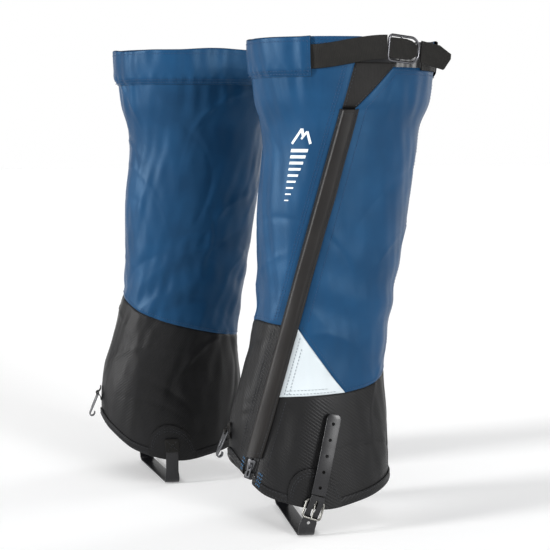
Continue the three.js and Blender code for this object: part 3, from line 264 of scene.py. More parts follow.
def panel_areas():
    upper_back, lower_back = UPPER_BACK_SEAM - 360 + SEAM, LOWER_BACK_SEAM - 360 + SEAM
    foot = TRIANGLE_TOP + SEAM
    tip = (TRIANGLE_TIP_ANGLE, SEAM_OUTER_HEIGHT + SEAM)
    low_tip = (TRIANGLE_TIP_ANGLE, SEAM_OUTER_HEIGHT - SEAM)
    corner = TRIANGLE_CORNER - SEAM

    def slope(start, end, tip_point):
        return lambda t: (part_way(start, tip_point[0], t), part_way(end, tip_point[1], t))

    front_corner, front_corner_height = hem_corner(-ZIP_HALF_GAP)
    rear_corner, rear_corner_height = hem_corner(ZIP_HALF_GAP)
    above = lambda angle: seam_height(angle) + SEAM
    below = lambda angle: seam_height(angle) - SEAM
    top_front = front_edge(float(RIM_HEIGHT))
    upper_front = between(
        in_two(rising(front_edge, foot, GUSSET_FOOT), rising(front_edge, GUSSET_FOOT, RIM_HEIGHT), 0.8),
        rising(lambda h: upper_back, above(upper_back), RIM_HEIGHT),
        level(front_edge(foot), upper_back, above),
        level(top_front, upper_back, lambda angle: RIM_HEIGHT),
    )
    upper_end = UPPER_BACK_SEAM - SEAM
    upper_rear = between(
        in_two(rising(rear_edge, foot, GUSSET_FOOT), rising(rear_edge, GUSSET_FOOT, REAR_RIM_HEIGHT), 0.8),
        rising(lambda h: upper_end, above(upper_end), REAR_RIM_HEIGHT),
        in_two(slope(rear_edge(foot), foot, tip), level(tip[0], upper_end, above), 0.45),
        level(rear_edge(float(REAR_RIM_HEIGHT)), upper_end, lambda angle: REAR_RIM_HEIGHT),
    )
    lower_front = between(
        rising(front_edge, front_corner_height, TRIANGLE_TOP - SEAM),
        rising(lambda h: lower_back, hem_height(lower_back), below(lower_back)),
        level(front_corner, lower_back, hem_height),
        level(front_edge(TRIANGLE_TOP - SEAM), lower_back, below),
    )
    lower_end = LOWER_BACK_SEAM - SEAM
    lower_rear = between(
        rising(rear_edge, rear_corner_height, corner),
        rising(lambda h: lower_end, hem_height(lower_end), below(lower_end)),
        level(rear_corner, lower_end, hem_height),
        in_two(slope(rear_edge(corner), corner, low_tip), level(low_tip[0], lower_end, below), 0.5),
    )
    low, high = TRIANGLE_CORNER + SEAM, TRIANGLE_TOP - 0.6
    end = TRIANGLE_TIP_ANGLE - 0.6
    triangle = between(
        rising(rear_edge, low, high),
        rising(lambda h: end, SEAM_OUTER_HEIGHT + 0.1, SEAM_OUTER_HEIGHT + 0.6),
        slope(rear_edge(low), low, (end, SEAM_OUTER_HEIGHT + 0.1)),
        slope(rear_edge(high), high, (end, SEAM_OUTER_HEIGHT + 0.6)),
    )
    gap_front = lambda h: beside(front_edge(h), h, SEAM)
    gap_rear = lambda h: beside(rear_edge(h), h, -SEAM)
    gusset = between(
        rising(gap_front, GUSSET_FOOT, GUSSET_TOP),
        rising(gap_rear, GUSSET_FOOT, GUSSET_TOP),
        lambda t: (part_way(gap_front(GUSSET_FOOT), gap_rear(GUSSET_FOOT), t), GUSSET_FOOT + 0 * t),
        lambda t: (part_way(gap_front(GUSSET_TOP), gap_rear(GUSSET_TOP), t), GUSSET_TOP + 0 * t),
    )
    return {
        "upper_front_panel": (upper_front, 210, 120, 0.8),
        "upper_rear_panel": (upper_rear, 90, 120, 0.45),
        "lower_front_panel": (lower_front, 180, 60, 0.5),
        "lower_rear_panel": (lower_rear, 80, 50, 0.5),
        "reflective_triangle": (triangle, 36, 30, 0.5),
        "stretch_gusset": (gusset, 24, 24, 0.5),
    }


# ---- how the cloth hangs ----
class Hang:
    """The folds of one gaiter: broad waves, ankle folds, short creases and the gathers under the casing."""

    def __init__(self, seed):
        draw = np.random.default_rng(seed)
        self.waves = [
            (m, draw.uniform(-1, 1) / 70, draw.uniform(0, 6.3), 1.7 / m**0.7) for m in (2, 3, 4, 5, 6)
        ]
        self.fine = [
            (m, draw.uniform(-1, 1) / 9, draw.uniform(0, 6.3), 0.16) for m in (9, 14, 17, 21, 26, 31)
        ]
        count = 54
        self.creases = np.stack(
            [
                draw.uniform(-190, 165, count),
                draw.uniform(70, 425, count),
                draw.uniform(-0.9, 0.9, count) + np.where(draw.random(count) < 0.35, 1.3, 0),
                draw.uniform(18, 60, count),
                draw.uniform(1.5, 4.2, count),
                draw.uniform(-1.15, 1.2, count),
            ],
            -1,
        )
        self.gather = draw.uniform(0, 6.3, 6)

    def __call__(self, angle, height):
        angle, height = np.broadcast_arrays(np.asarray(angle, float), np.asarray(height, float))
        a = np.radians(angle)
        out = np.zeros(angle.shape)
        for m, tilt, phase, size in self.waves:
            out += size * np.sin(m * a + tilt * height + phase)
        for m, tilt, phase, size in self.fine:
            out += size * np.sin(m * a + tilt * height + phase) * np.sin(a * 2 + height / 47 + phase)
        ankle = np.exp(-(((height - 212) / 44) ** 2))
        bend = height / 6.4 + 5 * np.sin(a + self.gather[0]) + 2.2 * np.sin(2 * a + self.gather[1])
        out += 1.5 * ankle * (0.25 + 0.75 * np.sin(a + self.gather[2]) ** 2) * np.sin(bend)
        for place, level_, turn, length, width, depth in self.creases:
            x = around(angle, place) * 1.15
            y = height - level_
            along = x * math.cos(turn) + y * math.sin(turn)
            across = -x * math.sin(turn) + y * math.cos(turn) + along**2 / 140
            out += depth * np.exp(-((along / length) ** 2)) * np.exp(-np.abs(across / width) ** 1.5)
        drop = np.clip(CASING_FOOT + 1 - height, 0, None)
        pull = np.exp(-drop / 24) * np.where(height > CASING_FOOT + 1, 0.7, 1)
        gathers = np.sin(
            31 * a + 1.5 * np.sin(3 * a + self.gather[3])
        ) + 0.7 * np.sin(19 * a + self.gather[4])
        out += 0.7 * pull * gathers * (0.5 + 0.5 * np.sin(5 * a + self.gather[5]))
        # flat by the zip, and where the buckles, the hook and the strap lie
        flat = 1 - np.exp(-((away_from_zip(angle, height) * 1.15 / 17) ** 4))
        flat = flat * (
            1 - 0.92 * np.exp(-((around(angle, 84) / 27) ** 4)) * np.clip((150 - height) / 40, 0, 1)
        )
        flat = flat * (1 - 0.9 * np.exp(-((around(angle, 0) / 17) ** 4)) * np.clip((125 - height) / 20, 0, 1))
        flat = flat * (
            1 - 0.92 * np.exp(-((around(angle, -81) / 20) ** 4)) * np.clip((90 - height) / 25, 0, 1)
        )
        flat = flat * (
            1 - 0.9 * np.exp(-((around(angle, 104) / 42) ** 4)) * np.clip((height - 405) / 22, 0, 1)
        )
        low = np.clip((height - hem_height(angle)) / 30, 0.15, 1)
        return out * flat * low


def around(angle, middle):
    return (angle - middle + 180) % 360 - 180


hang = None
side = None


def draped(angle, height, lift):
    return lifted(angle, height, lift + hang(angle, height))


# ---- making meshes ----
def placed(points):
    """Gaiter millimetres to metres in the pair's frame: the right gaiter is the left one's mirror image."""
    sign = 1 if side == "left" else -1
    out = np.array(points, float).reshape(-1, 3)
    out[:, 1] *= sign
    out[:, 0] += sign * STEP_LENGTH / 2
    out[:, 1] -= sign * STANCE_WIDTH / 2
    return out / 1000


def facing_out(points, faces):
    """The faces, turned over if they look into the solid that they close."""
    points = points - points.mean(0)
    volume = 0.0
    for corners in sorted(set(map(len, faces))):
        rings = points[np.array([face for face in faces if len(face) == corners])]
        for k in range(1, corners - 1):
            volume += float(np.einsum("ij,ij->", rings[:, 0], np.cross(rings[:, k], rings[:, k + 1])))
    return faces if volume > 0 else [face[::-1] for face in faces]


def mesh_piece(name, points, faces, material, uvs=None, sharp=55):
    mesh = bpy.data.meshes.new(f"{side}_{name}")
    spots = placed(points)
    mesh.from_pydata(spots.tolist(), [], [list(map(int, face)) for face in facing_out(spots, faces)])
    if uvs is not None:
        layer = mesh.uv_layers.new(name="UVMap")
        loops = np.zeros(len(mesh.loops), int)
        mesh.loops.foreach_get("vertex_index", loops)
        layer.data.foreach_set("uv", (np.asarray(uvs, float) / 1000)[loops].ravel())
    mesh.materials.append(material)
    mesh.shade_smooth()
    mesh.set_sharp_from_angle(angle=math.radians(sharp))
    piece = bpy.data.objects.new(f"{side}_{name}_piece", mesh)
    bpy.context.scene.collection.objects.link(piece)
    return piece


def fit(piece, body, slot, *nodes):
    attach(piece, f"{side}_{body}")
    if nodes:
        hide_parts(*[f"{side}_{node}" for node in nodes])
    return piece


def grid_faces(rows, columns, offset=0, wrap_rows=False, wrap_columns=False):
    i, j = np.meshgrid(
        np.arange(rows if wrap_rows else rows - 1), np.arange(
            columns if wrap_columns else columns - 1
        ), indexing="ij"
    )
    i, j = i.ravel(), j.ravel()
    i2, j2 = (i + 1) % rows, (j + 1) % columns
    at = lambda a, b: offset + a * columns + b
    return np.stack([at(i, j), at(i2, j), at(i2, j2), at(i, j2)], -1).tolist()


def thick_sheet(outer, inner):
    """Points and faces of a sheet with a softly rounded edge, from the grids of its two faces."""
    nu, nv = outer.shape[:2]
    ring = (
        [(i, 0) for i in range(nu)]
        + [(nu - 1, j) for j in range(1, nv)]
        + [(i, nv - 1) for i in range(nu - 2, -1, -1)]
        + [(0, j) for j in range(nv - 2, 0, -1)]
    )
    rows, cols = np.array(ring).T
    inside_rows = np.clip(rows, 1, nu - 2) if nu > 2 else rows
    inside_cols = np.clip(cols, 1, nv - 2) if nv > 2 else cols
    middle = (outer + inner) / 2
    away = middle[rows, cols] - middle[inside_rows, inside_cols]
    norm = np.linalg.norm(away, axis=-1, keepdims=True)
    away = np.where(norm > 1e-6, away / np.maximum(norm, 1e-6), 0)
    depth = np.linalg.norm(outer - inner, axis=-1)[rows, cols][:, None]
    edge = middle[rows, cols] + away * depth * 0.35
    count = nu * nv
    points = np.concatenate([outer.reshape(-1, 3), inner.reshape(-1, 3), edge])
    faces = grid_faces(nu, nv)
    faces += [face[::-1] for face in grid_faces(nu, nv, count)]
    total = len(ring)
    for k in range(total):
        n = (k + 1) % total
        a, b = rows[k] * nv + cols[k], rows[n] * nv + cols[n]
        e, f = 2 * count + k, 2 * count + n
        faces += [[a, e, f, b], [count + b, f, e, count + a]]
    return points, faces, (rows, cols)


def cloth_uv(angles, heights):
    return np.stack([np.radians(angles) * 66, heights], -1)


def seam_pinch(shape, width, length):
    """How far the cloth is drawn in beside its edges, by the seam."""
    u, v = np.linspace(0, width, shape[0])[:, None], np.linspace(0, length, shape[1])[None, :]
    near = np.minimum(np.minimum(u, width - u), np.minimum(v, length - v))
    return -0.5 * np.exp(-((near / 1.8) ** 2))


def cut_size(points):
    """Width, length and area, in metres, of the flat piece that a grid of points was cut from."""
    points = points / 1000
    widths = np.linalg.norm(np.diff(points, axis=0), axis=-1).sum(0)
    lengths = np.linalg.norm(np.diff(points, axis=1), axis=-1).sum(1)
    du, dv = np.diff(points, axis=0)[:, :-1], np.diff(points, axis=1)[:-1]
    area = float(np.linalg.norm(np.cross(du, dv), axis=-1).sum())
    width, length = float(widths.max()), float(lengths.max())
    return (width, length), min(area, width * length)


def sewn(name, angles, heights, low, high, material, pinch=0, back=None):
    """A cloth piece laid round the leg between two lifts; returns the piece and its flat size."""
    folds = hang(angles, heights) + pinch
    outer = lifted(angles, heights, high + folds)
    inner = lifted(angles, heights, low + folds)
    points, faces, (rows, cols) = thick_sheet(outer, inner)
    uv = cloth_uv(angles, heights)
    uvs = np.concatenate([uv.reshape(-1, 2), uv.reshape(-1, 2), uv[rows, cols]])
    piece = mesh_piece(name, points, faces, material, uvs)
    if back:
        piece.data.materials.append(back)
        quads = (angles.shape[0] - 1) * (angles.shape[1] - 1)
        index = np.zeros(len(faces), int)
        index[quads : 2 * quads] = 1
        piece.data.polygons.foreach_set("material_index", index)
    return piece, cut_size(lifted(angles, heights, high))


def smooth_path(points, count):
    """Points spaced evenly along a smooth curve through the given ones."""
    points = np.array(points, float)
    steps = np.concatenate(
        [[0], np.cumsum(np.maximum(np.linalg.norm(np.diff(points, axis=0), axis=-1), 1e-6))]
    )
    where = np.linspace(0, steps[-1], count)
    return np.stack([curve_through(list(zip(steps, points[:, k])))(where) for k in range(3)], -1)


def section(half_width, half_depth, round_off, steps=3):
    """A rounded rectangle's outline, as across and out offsets."""
    r = min(round_off, half_depth, half_width)
    out = []
    for cx, cy, start in ((1, 1, 0), (-1, 1, 90), (-1, -1, 180), (1, -1, 270)):
        for k in range(steps + 1):
            a = math.radians(start + 90 * k / steps)
            out.append((cx * (half_width - r) + r * math.cos(a), cy * (half_depth - r) + r * math.sin(a)))
    return np.array(out)


def ribbon(
    name, middles, acrosses, outs, half_widths, thickness, material, round_off=0.5, fold=0.0, sharp=50
):
    """A flat strap along its middle line, with rounded edges; fold bows it across."""
    middles, acrosses, outs = (np.array(values, float) for values in (middles, acrosses, outs))
    rows = len(middles)
    rings, uvs = [], []
    run = np.concatenate([[0], np.cumsum(np.linalg.norm(np.diff(middles, axis=0), axis=-1))])
    for k in range(rows):
        outline = section(half_widths[k], thickness / 2, round_off)
        bow = fold * (1 - (outline[:, 0] / half_widths[k]) ** 2)
        rings.append(middles[k] + outline[:, :1] * acrosses[k] + (outline[:, 1:] + bow[:, None]) * outs[k])
        uvs.append(np.stack([outline[:, 0], np.full(len(outline), run[k])], -1))
    columns = len(rings[0])
    faces = grid_faces(rows, columns, wrap_columns=True)
    faces.append(list(range(columns)))
    faces.append([(rows - 1) * columns + k for k in range(columns)][::-1])
    return mesh_piece(name, np.concatenate(rings), faces, material, np.concatenate(uvs), sharp)


def tube_data(path, radius, closed=False, sides=14, offset=0):
    path = np.array(path, float)
    count = len(path)
    ahead = np.roll(path, -1, 0) - path if closed else np.gradient(path, axis=0)
    behind = path - np.roll(path, 1, 0) if closed else ahead
    tangents = unit(ahead + behind)
    helper = np.array([0.0, 0, 1]) if abs(tangents[0][2]) < 0.9 else np.array([1.0, 0, 0])
    normal = unit(np.cross(tangents[0], helper))
    rings = []
    radii = np.broadcast_to(radius, (count,))
    angles = np.linspace(0, 2 * math.pi, sides, endpoint=False)
    for k in range(count):
        normal = unit(normal - tangents[k] * np.dot(normal, tangents[k]))
        other = np.cross(tangents[k], normal)
        turn = np.cos(angles)[:, None] * normal + np.sin(angles)[:, None] * other
        rings.append(path[k] + radii[k] * turn)
    faces = grid_faces(count, sides, offset, wrap_rows=closed, wrap_columns=True)
    if not closed:
        faces.append([offset + k for k in range(sides)])
        faces.append([offset + (count - 1) * sides + k for k in range(sides)][::-1])
    return np.concatenate(rings), faces


def joined(parts):
    """Several (points, faces) sets as one."""
    points, faces, offset = [], [], 0
    for some_points, some_faces in parts:
        points.append(np.array(some_points, float))
        faces += [[offset + k for k in face] for face in facing_out(points[-1], some_faces)]
        offset += len(some_points)
    return np.concatenate(points), faces


# ---- small frames on the gaiter, as an origin and three axes ----
class Place:
    def __init__(self, origin, along, outward):
        self.origin = np.array(origin, float)
        self.x = unit(np.array(along, float))
        self.y = unit(np.cross(outward, self.x))
        self.z = np.cross(self.x, self.y)

    def __call__(self, points):
        points = np.array(points, float)
        return self.origin + points[..., :1] * self.x + points[..., 1:2] * self.y + points[..., 2:3] * self.z


def plate_data(outlines, thickness, bevel):
    """A flat plate with rounded edges from closed outlines; the ones inside the first are holes."""
    curve = bpy.data.curves.new("plate", "CURVE")
    curve.dimensions = "2D"
    curve.fill_mode = "BOTH"
    curve.extrude = thickness / 2 - bevel
    curve.bevel_depth = bevel
    curve.bevel_resolution = 2
    curve.offset = -bevel
    for outline in outlines:
        spline = curve.splines.new("POLY")
        spline.points.add(len(outline) - 1)
        for point, (x, y) in zip(spline.points, outline):
            point.co = (x, y, 0, 1)
        spline.use_cyclic_u = True
    holder = bpy.data.objects.new("plate", curve)
    bpy.context.scene.collection.objects.link(holder)
    bpy.context.view_layer.update()
    mesh = bpy.data.meshes.new_from_object(holder.evaluated_get(bpy.context.evaluated_depsgraph_get()))
    solid = bmesh.new()
    solid.from_mesh(mesh)
    bmesh.ops.remove_doubles(solid, verts=solid.verts, dist=0.001)
    bmesh.ops.recalc_face_normals(solid, faces=solid.faces)
    points = np.array([v.co[:] for v in solid.verts])
    faces = [[v.index for v in face.verts] for face in solid.faces]
    solid.free()
    bpy.data.objects.remove(holder)
    bpy.data.meshes.remove(mesh)
    return points, faces


def rounded(half_x, low_y, high_y, radius, steps=5):
    out = []
    corners = [(1, high_y, 0), (-1, high_y, 90), (-1, low_y, 180), (1, low_y, 270)]
    for sx, y, start in corners:
        sy = 1 if start < 180 else -1
        for k in range(steps + 1):
            a = math.radians(start + 90 * k / steps)
            out.append(
                (sx * (half_x - radius) + radius * math.cos(a), y - sy * radius + radius * math.sin(a))
            )
    return out


def punched(piece, tools):
    """Cuts holes through a piece with (points, faces) tools and takes the tools away."""
    cutters = []
    for points, faces in tools:
        mesh = bpy.data.meshes.new("punch")
        spots = placed(points)
        mesh.from_pydata(spots.tolist(), [], facing_out(spots, faces))
        cutter = bpy.data.objects.new("punch", mesh)
        bpy.context.scene.collection.objects.link(cutter)
        modifier = piece.modifiers.new("hole", "BOOLEAN")
        modifier.operation, modifier.object, modifier.solver = "DIFFERENCE", cutter, "EXACT"
        cutters.append(cutter)
    bpy.context.view_layer.update()
    result = bpy.data.meshes.new_from_object(piece.evaluated_get(bpy.context.evaluated_depsgraph_get()))
    piece.modifiers.clear()
    piece.data = result
    for cutter in cutters:
        bpy.data.objects.remove(cutter)
    return piece


# ---- stitching ----
def stitch_data(path, outs, pitch=3.1, length=2.15, thread=0.27):
    """Separate stitches along a path that lies on the cloth, each dipping into it at both ends."""
    steps = np.concatenate([[0], np.cumsum(np.linalg.norm(np.diff(path, axis=0), axis=-1))])
    count = max(int(steps[-1] / pitch), 1)
    centres = (np.arange(count) + 0.5) * steps[-1] / count
    at = lambda s: np.stack([np.interp(s, steps, path[:, k]) for k in range(3)], -1)
    out = unit(np.stack([np.interp(centres, steps, outs[:, k]) for k in range(3)], -1))
    middle = at(centres)
    along = unit(at(centres + 0.5) - at(centres - 0.5))
    across = np.cross(out, along)
    shares = np.array([-1, -0.7, 0, 0.7, 1])
    radii = thread * np.array([0.4, 0.95, 1.05, 0.95, 0.4])
    rises = np.array([-0.3, 0.02, 0.14, 0.02, -0.3])
    turns = np.linspace(0, 2 * math.pi, 6, endpoint=False)
    rings = []
    for share_, radius, rise in zip(shares, radii, rises):
        centre = middle + along * share_ * length / 2 + out * (rise + thread * 0.4)
        for turn in turns:
            rings.append(centre + (across * math.cos(turn) + out * math.sin(turn)) * radius)
    points = np.stack(rings, 1).reshape(-1, 3)
    faces = []
    for k in range(count):
        faces += grid_faces(5, 6, k * 30, wrap_columns=True)
        faces += [[k * 30 + j for j in range(6)], [k * 30 + 24 + j for j in range(6)][::-1]]
    return points, faces


def row_on_cloth(angles, heights, lift):
    angles, heights = np.broadcast_arrays(np.asarray(angles, float), np.asarray(heights, float))
    return stitch_data(draped(angles, heights, lift), outward_at(angles, heights))


# ---- materials ----
def linear(code):
    """An sRGB hex colour as linear values with full alpha."""
    channels = [int(code[k : k + 2], 16) / 255 for k in (1, 3, 5)]
    return tuple(c / 12.92 if c <= 0.04045 else ((c + 0.055) / 1.055) ** 2.4 for c in channels) + (1.0,)


def node(tree, kind, links=None, **settings):
    """Adds a node with its settings and links; a link to a node takes that node's first live output."""
    made = tree.nodes.new(kind)
    for name, value in settings.items():
        setattr(made, name, value)
    for socket, value in (links or {}).items():
        if isinstance(value, bpy.types.Node):
            value = next(output for output in value.outputs if output.enabled)
        if isinstance(value, bpy.types.NodeSocket):
            tree.links.new(value, made.inputs[socket])
        else:
            made.inputs[socket].default_value = value
    return made


def finish(name, **shader_values):
    material = bpy.data.materials.new(name)
    material.use_nodes = True
    tree = material.node_tree
    shader = tree.nodes["Principled BSDF"]
    for socket, value in shader_values.items():
        shader.inputs[socket.replace("_", " ")].default_value = value
    return material, tree, shader


def set_surface(tree, shader, tone, rough, bump):
    tree.links.new(tone.outputs[2], shader.inputs["Base Color"])
    tree.links.new(rough.outputs[0], shader.inputs["Roughness"])
    tree.links.new(bump.outputs[0], shader.inputs["Normal"])


def ribs(tree, place, turn, pitch_mm):
    """Ridges across a direction, 0 to 1, spaced in millimetres; the cloth's coordinates are in metres."""
    turned = node(tree, "ShaderNodeMapping", {"Vector": place, "Rotation": (0, 0, math.radians(turn))})
    across = node(tree, "ShaderNodeSeparateXYZ", {0: turned})
    phase = node(tree, "ShaderNodeMath", {0: across, 1: 2 * math.pi * 1000 / pitch_mm}, operation="MULTIPLY")
    wave = node(tree, "ShaderNodeMath", {0: phase}, operation="SINE")
    return node(tree, "ShaderNodeMapRange", {0: wave, 1: -1, 2: 1, 3: 0, 4: 1})


def cloth_finish(name, tones, threads, depth_mm, roughness, sheen=0.0, patch_mm=30, **more):
    """Woven cloth. Tones are its face, the shade between threads and the face where it is worn; threads are
    (turn, pitch in mm) pairs, whose ridges lie over one another."""
    base, dark, light = (linear(tone) for tone in tones)
    material, tree, shader = finish(name, Sheen_Weight=sheen, Sheen_Roughness=0.45, **more)
    place = node(tree, "ShaderNodeTexCoord").outputs["UV"]
    height = ribs(tree, place, *threads[0])
    for turn, pitch in threads[1:]:
        other = ribs(tree, place, turn, pitch)
        height = node(tree, "ShaderNodeMath", {0: height, 1: other}, operation="MAXIMUM")
    broad = node(tree, "ShaderNodeTexNoise", {"Vector": place, "Scale": 1000 / patch_mm, "Detail": 3.0})
    fine = node(tree, "ShaderNodeTexNoise", {"Vector": place, "Scale": 1000 / 2.2, "Detail": 2.0})
    worn = node(tree, "ShaderNodeMapRange", {0: broad, 1: 0.4, 2: 1.025, 3: 0, 4: 1})
    face = node(tree, "ShaderNodeMix", {0: worn, 6: base, 7: light}, data_type="RGBA")
    depth = node(tree, "ShaderNodeMapRange", {0: height, 1: 0, 2: 1, 3: 0.55, 4: 0})
    tone = node(tree, "ShaderNodeMix", {0: depth, 6: face, 7: dark}, data_type="RGBA")
    rough = node(tree, "ShaderNodeMapRange", {0: fine, 1: 0, 2: 1, 3: roughness - 0.08, 4: roughness + 0.08})
    relief = node(tree, "ShaderNodeMath", {0: fine, 1: 0.7, 2: height}, operation="MULTIPLY_ADD")
    bump = node(tree, "ShaderNodeBump", {"Height": relief, "Strength": 0.7, "Distance": depth_mm / 1000})
    set_surface(tree, shader, tone, rough, bump)
    return material


def moulded_finish(name, base, light, roughness, grain_mm, depth_mm, **more):
    """Plastic, rubber, thread or metal: a fine grain in the relief and slow changes of tone."""
    material, tree, shader = finish(name, **more)
    place = node(tree, "ShaderNodeTexCoord").outputs["Object"]
    grain = node(tree, "ShaderNodeTexNoise", {"Vector": place, "Scale": 1000 / grain_mm, "Detail": 3.0})
    broad = node(tree, "ShaderNodeTexNoise", {"Vector": place, "Scale": 1000 / 14, "Detail": 2.0})
    tone = node(tree, "ShaderNodeMix", {0: broad, 6: linear(base), 7: linear(light)}, data_type="RGBA")
    rough = node(tree, "ShaderNodeMapRange", {0: grain, 1: 0, 2: 1, 3: roughness - 0.1, 4: roughness + 0.1})
    bump = node(tree, "ShaderNodeBump", {"Height": grain, "Strength": 0.4, "Distance": depth_mm / 1000})
    set_surface(tree, shader, tone, rough, bump)
    return material


# Plain-woven nylon with a coated back, dyed blue: a satin face that takes broad soft highlights. The real
# threads are 0.3 mm apart; they are drawn 0.9 mm apart so that they show. The dye tints the gleam as well.
dyed_nylon = cloth_finish(
    "dyed_nylon_taffeta",
    ("#153b5d", "#0c2844", "#1e4d75"),
    [(0, 0.9), (90, 0.9)],
    depth_mm=0.06,
    roughness=0.4,
    patch_mm=45,
    Specular_IOR_Level=0.36,
    Specular_Tint=linear("#9cc4e4"),
)
# Ballistic nylon for the ankle, black: a diagonal rib that breaks the light into fine slanting lines.
ballistic_nylon = cloth_finish(
    "ballistic_nylon",
    ("#121213", "#040404", "#1b1b1d"),
    [(38, 1.5), (-52, 2.6)],
    depth_mm=0.2,
    roughness=0.42,
    sheen=0.01,
    Specular_IOR_Level=0.22,
)
# Polypropylene webbing, woven in ribs across: matt and coarse.
ribbed_webbing = cloth_finish(
    "polypropylene_webbing",
    ("#171614", "#070707", "#24221f"),
    [(90, 1.6), (18, 1.1)],
    depth_mm=0.2,
    roughness=0.6,
    patch_mm=12,
    Specular_IOR_Level=0.2,
)
# Knitted elastane for the gusset: fine, dull ribs that run up.
stretch_knit = cloth_finish(
    "elastane_knit",
    ("#1b1a19", "#0d0d0d", "#262423"),
    [(0, 1.1)],
    depth_mm=0.12,
    roughness=0.6,
    sheen=0.02,
    patch_mm=16,
    Specular_IOR_Level=0.2,
)
# Densely woven polyester for the flap: dark with a brownish sheen.
flap_cloth = cloth_finish(
    "polyester_flap_cloth",
    ("#181615", "#0b0a0a", "#252220"),
    [(30, 1.0), (-60, 1.4)],
    depth_mm=0.07,
    roughness=0.4,
    sheen=0.03,
    patch_mm=60,
    Specular_IOR_Level=0.25,
)
# Glass-bead reflective film on cloth: near white, with a faint grid where it was rolled.
reflective_film = cloth_finish(
    "glass_bead_film",
    ("#c0c8cc", "#b0babf", "#cad1d5"),
    [(45, 1.6), (-45, 1.6)],
    depth_mm=0.03,
    roughness=0.42,
)
# Zip tape, knitted polyester: dull and close.
zip_tape_cloth = cloth_finish(
    "zip_tape",
    ("#17181a", "#0b0b0c", "#222326"),
    [(45, 0.9), (-45, 0.9)],
    depth_mm=0.1,
    roughness=0.7,
    sheen=0.05,
    patch_mm=10,
)
# Spun polyester thread: a soft gleam along each stitch, a shade off the cloth it is sewn through.
blue_thread = moulded_finish("blue_polyester_thread", "#0f2f50", "#1a4670", 0.55, 0.4, 0.05)
bright_thread = moulded_finish("bright_blue_thread", "#1b5480", "#2a6c9a", 0.5, 0.4, 0.05)
black_thread = moulded_finish("black_polyester_thread", "#111419", "#20242b", 0.5, 0.4, 0.05)
grey_thread = moulded_finish("grey_polyester_thread", "#5b666e", "#78838a", 0.55, 0.4, 0.05)
# Polyurethane coating on the back of the cloth: black, smooth and slightly glossy.
coated_back = moulded_finish("polyurethane_coating", "#0c0d0f", "#17181b", 0.42, 1.2, 0.03)
# Heat-pressed vinyl for the print: white and even.
pressed_vinyl = moulded_finish("heat_pressed_vinyl", "#cfd6da", "#dce2e5", 0.45, 1.0, 0.02)
# Moulded acetal for the zip's teeth and end box: black and slightly glossy.
moulded_acetal = moulded_finish("moulded_acetal", "#101113", "#1c1d20", 0.38, 0.8, 0.02, IOR=1.48)
# Moulded thermoplastic polyurethane for the instep strap: dark grey, with a satin skin.
satin_urethane = moulded_finish(
    "satin_urethane", "#0e0e10", "#1c1c1f", 0.3, 0.9, 0.03, IOR=1.5, Specular_IOR_Level=0.4
)
# Nickel-plated steel wire: bright, with its edges softened by tumbling.
plated_steel = moulded_finish("nickel_plated_steel", "#6f6e6a", "#8d8c87", 0.34, 0.7, 0.01, Metallic=1.0)
# Black-nickel plated steel: dark, with bright edges where it turns.
black_nickel = moulded_finish("black_nickel_steel", "#4a4a4d", "#77777b", 0.26, 0.7, 0.01, Metallic=1.0)
# Pressed steel, zinc plated: dull and grey.
dull_steel = moulded_finish("zinc_plated_steel", "#4c4d50", "#6c6d70", 0.36, 0.9, 0.015, Metallic=1.0)

# ---- lifts of the layers, as in the solid model ----
BODY = CLOTH / 2
WEBBING_LIFT = BODY + 0.5
CASING_LIFT = 3.2
HEM_LIFT = 1.15
PATCH_LIFT = HEM_LIFT + THIN + 0.35
TAB_LIFT = PATCH_LIFT + THIN + 0.35


def webbing_height(angle):
    t = np.clip((np.asarray(angle, float) - CASING_END_ANGLE) / (103 - CASING_END_ANGLE), 0, 1)
    return RIM_HEIGHT - 18 + 9 * t * t * (3 - 2 * t)


def panels():
    made = {}
    looks = {
        "upper_front_panel": (dyed_nylon, "upper_cloth"),
        "upper_rear_panel": (dyed_nylon, "upper_cloth"),
        "lower_front_panel": (ballistic_nylon, "lower_cloth"),
        "lower_rear_panel": (ballistic_nylon, "lower_cloth"),
        "reflective_triangle": (reflective_film, "reflective_film"),
        "stretch_gusset": (stretch_knit, "stretch_cloth"),
    }
    for name, (area, columns, rows, knee) in panel_areas().items():
        material, slot = looks[name]
        u = np.unique(np.append(np.linspace(0, 1, columns), 0.45 if "rear" in name else knee))
        if name == "lower_rear_panel":
            u = np.unique(np.append(np.linspace(0, 1, columns), 0.5))
        v = np.unique(np.append(np.linspace(0, 1, rows), 0.8))
        angles, heights = area(u[:, None], v[None, :])
        angles, heights = np.broadcast_arrays(angles, heights)
        size = cut_size(lifted(angles, heights, BODY))
        pinch = seam_pinch(angles.shape, size[0][0] * 1000, size[0][1] * 1000)
        piece, size = sewn(name, angles, heights, -BODY, BODY, material, pinch, coated_back)
        made[name] = (fit(piece, "shell", slot, name), size)
    return made


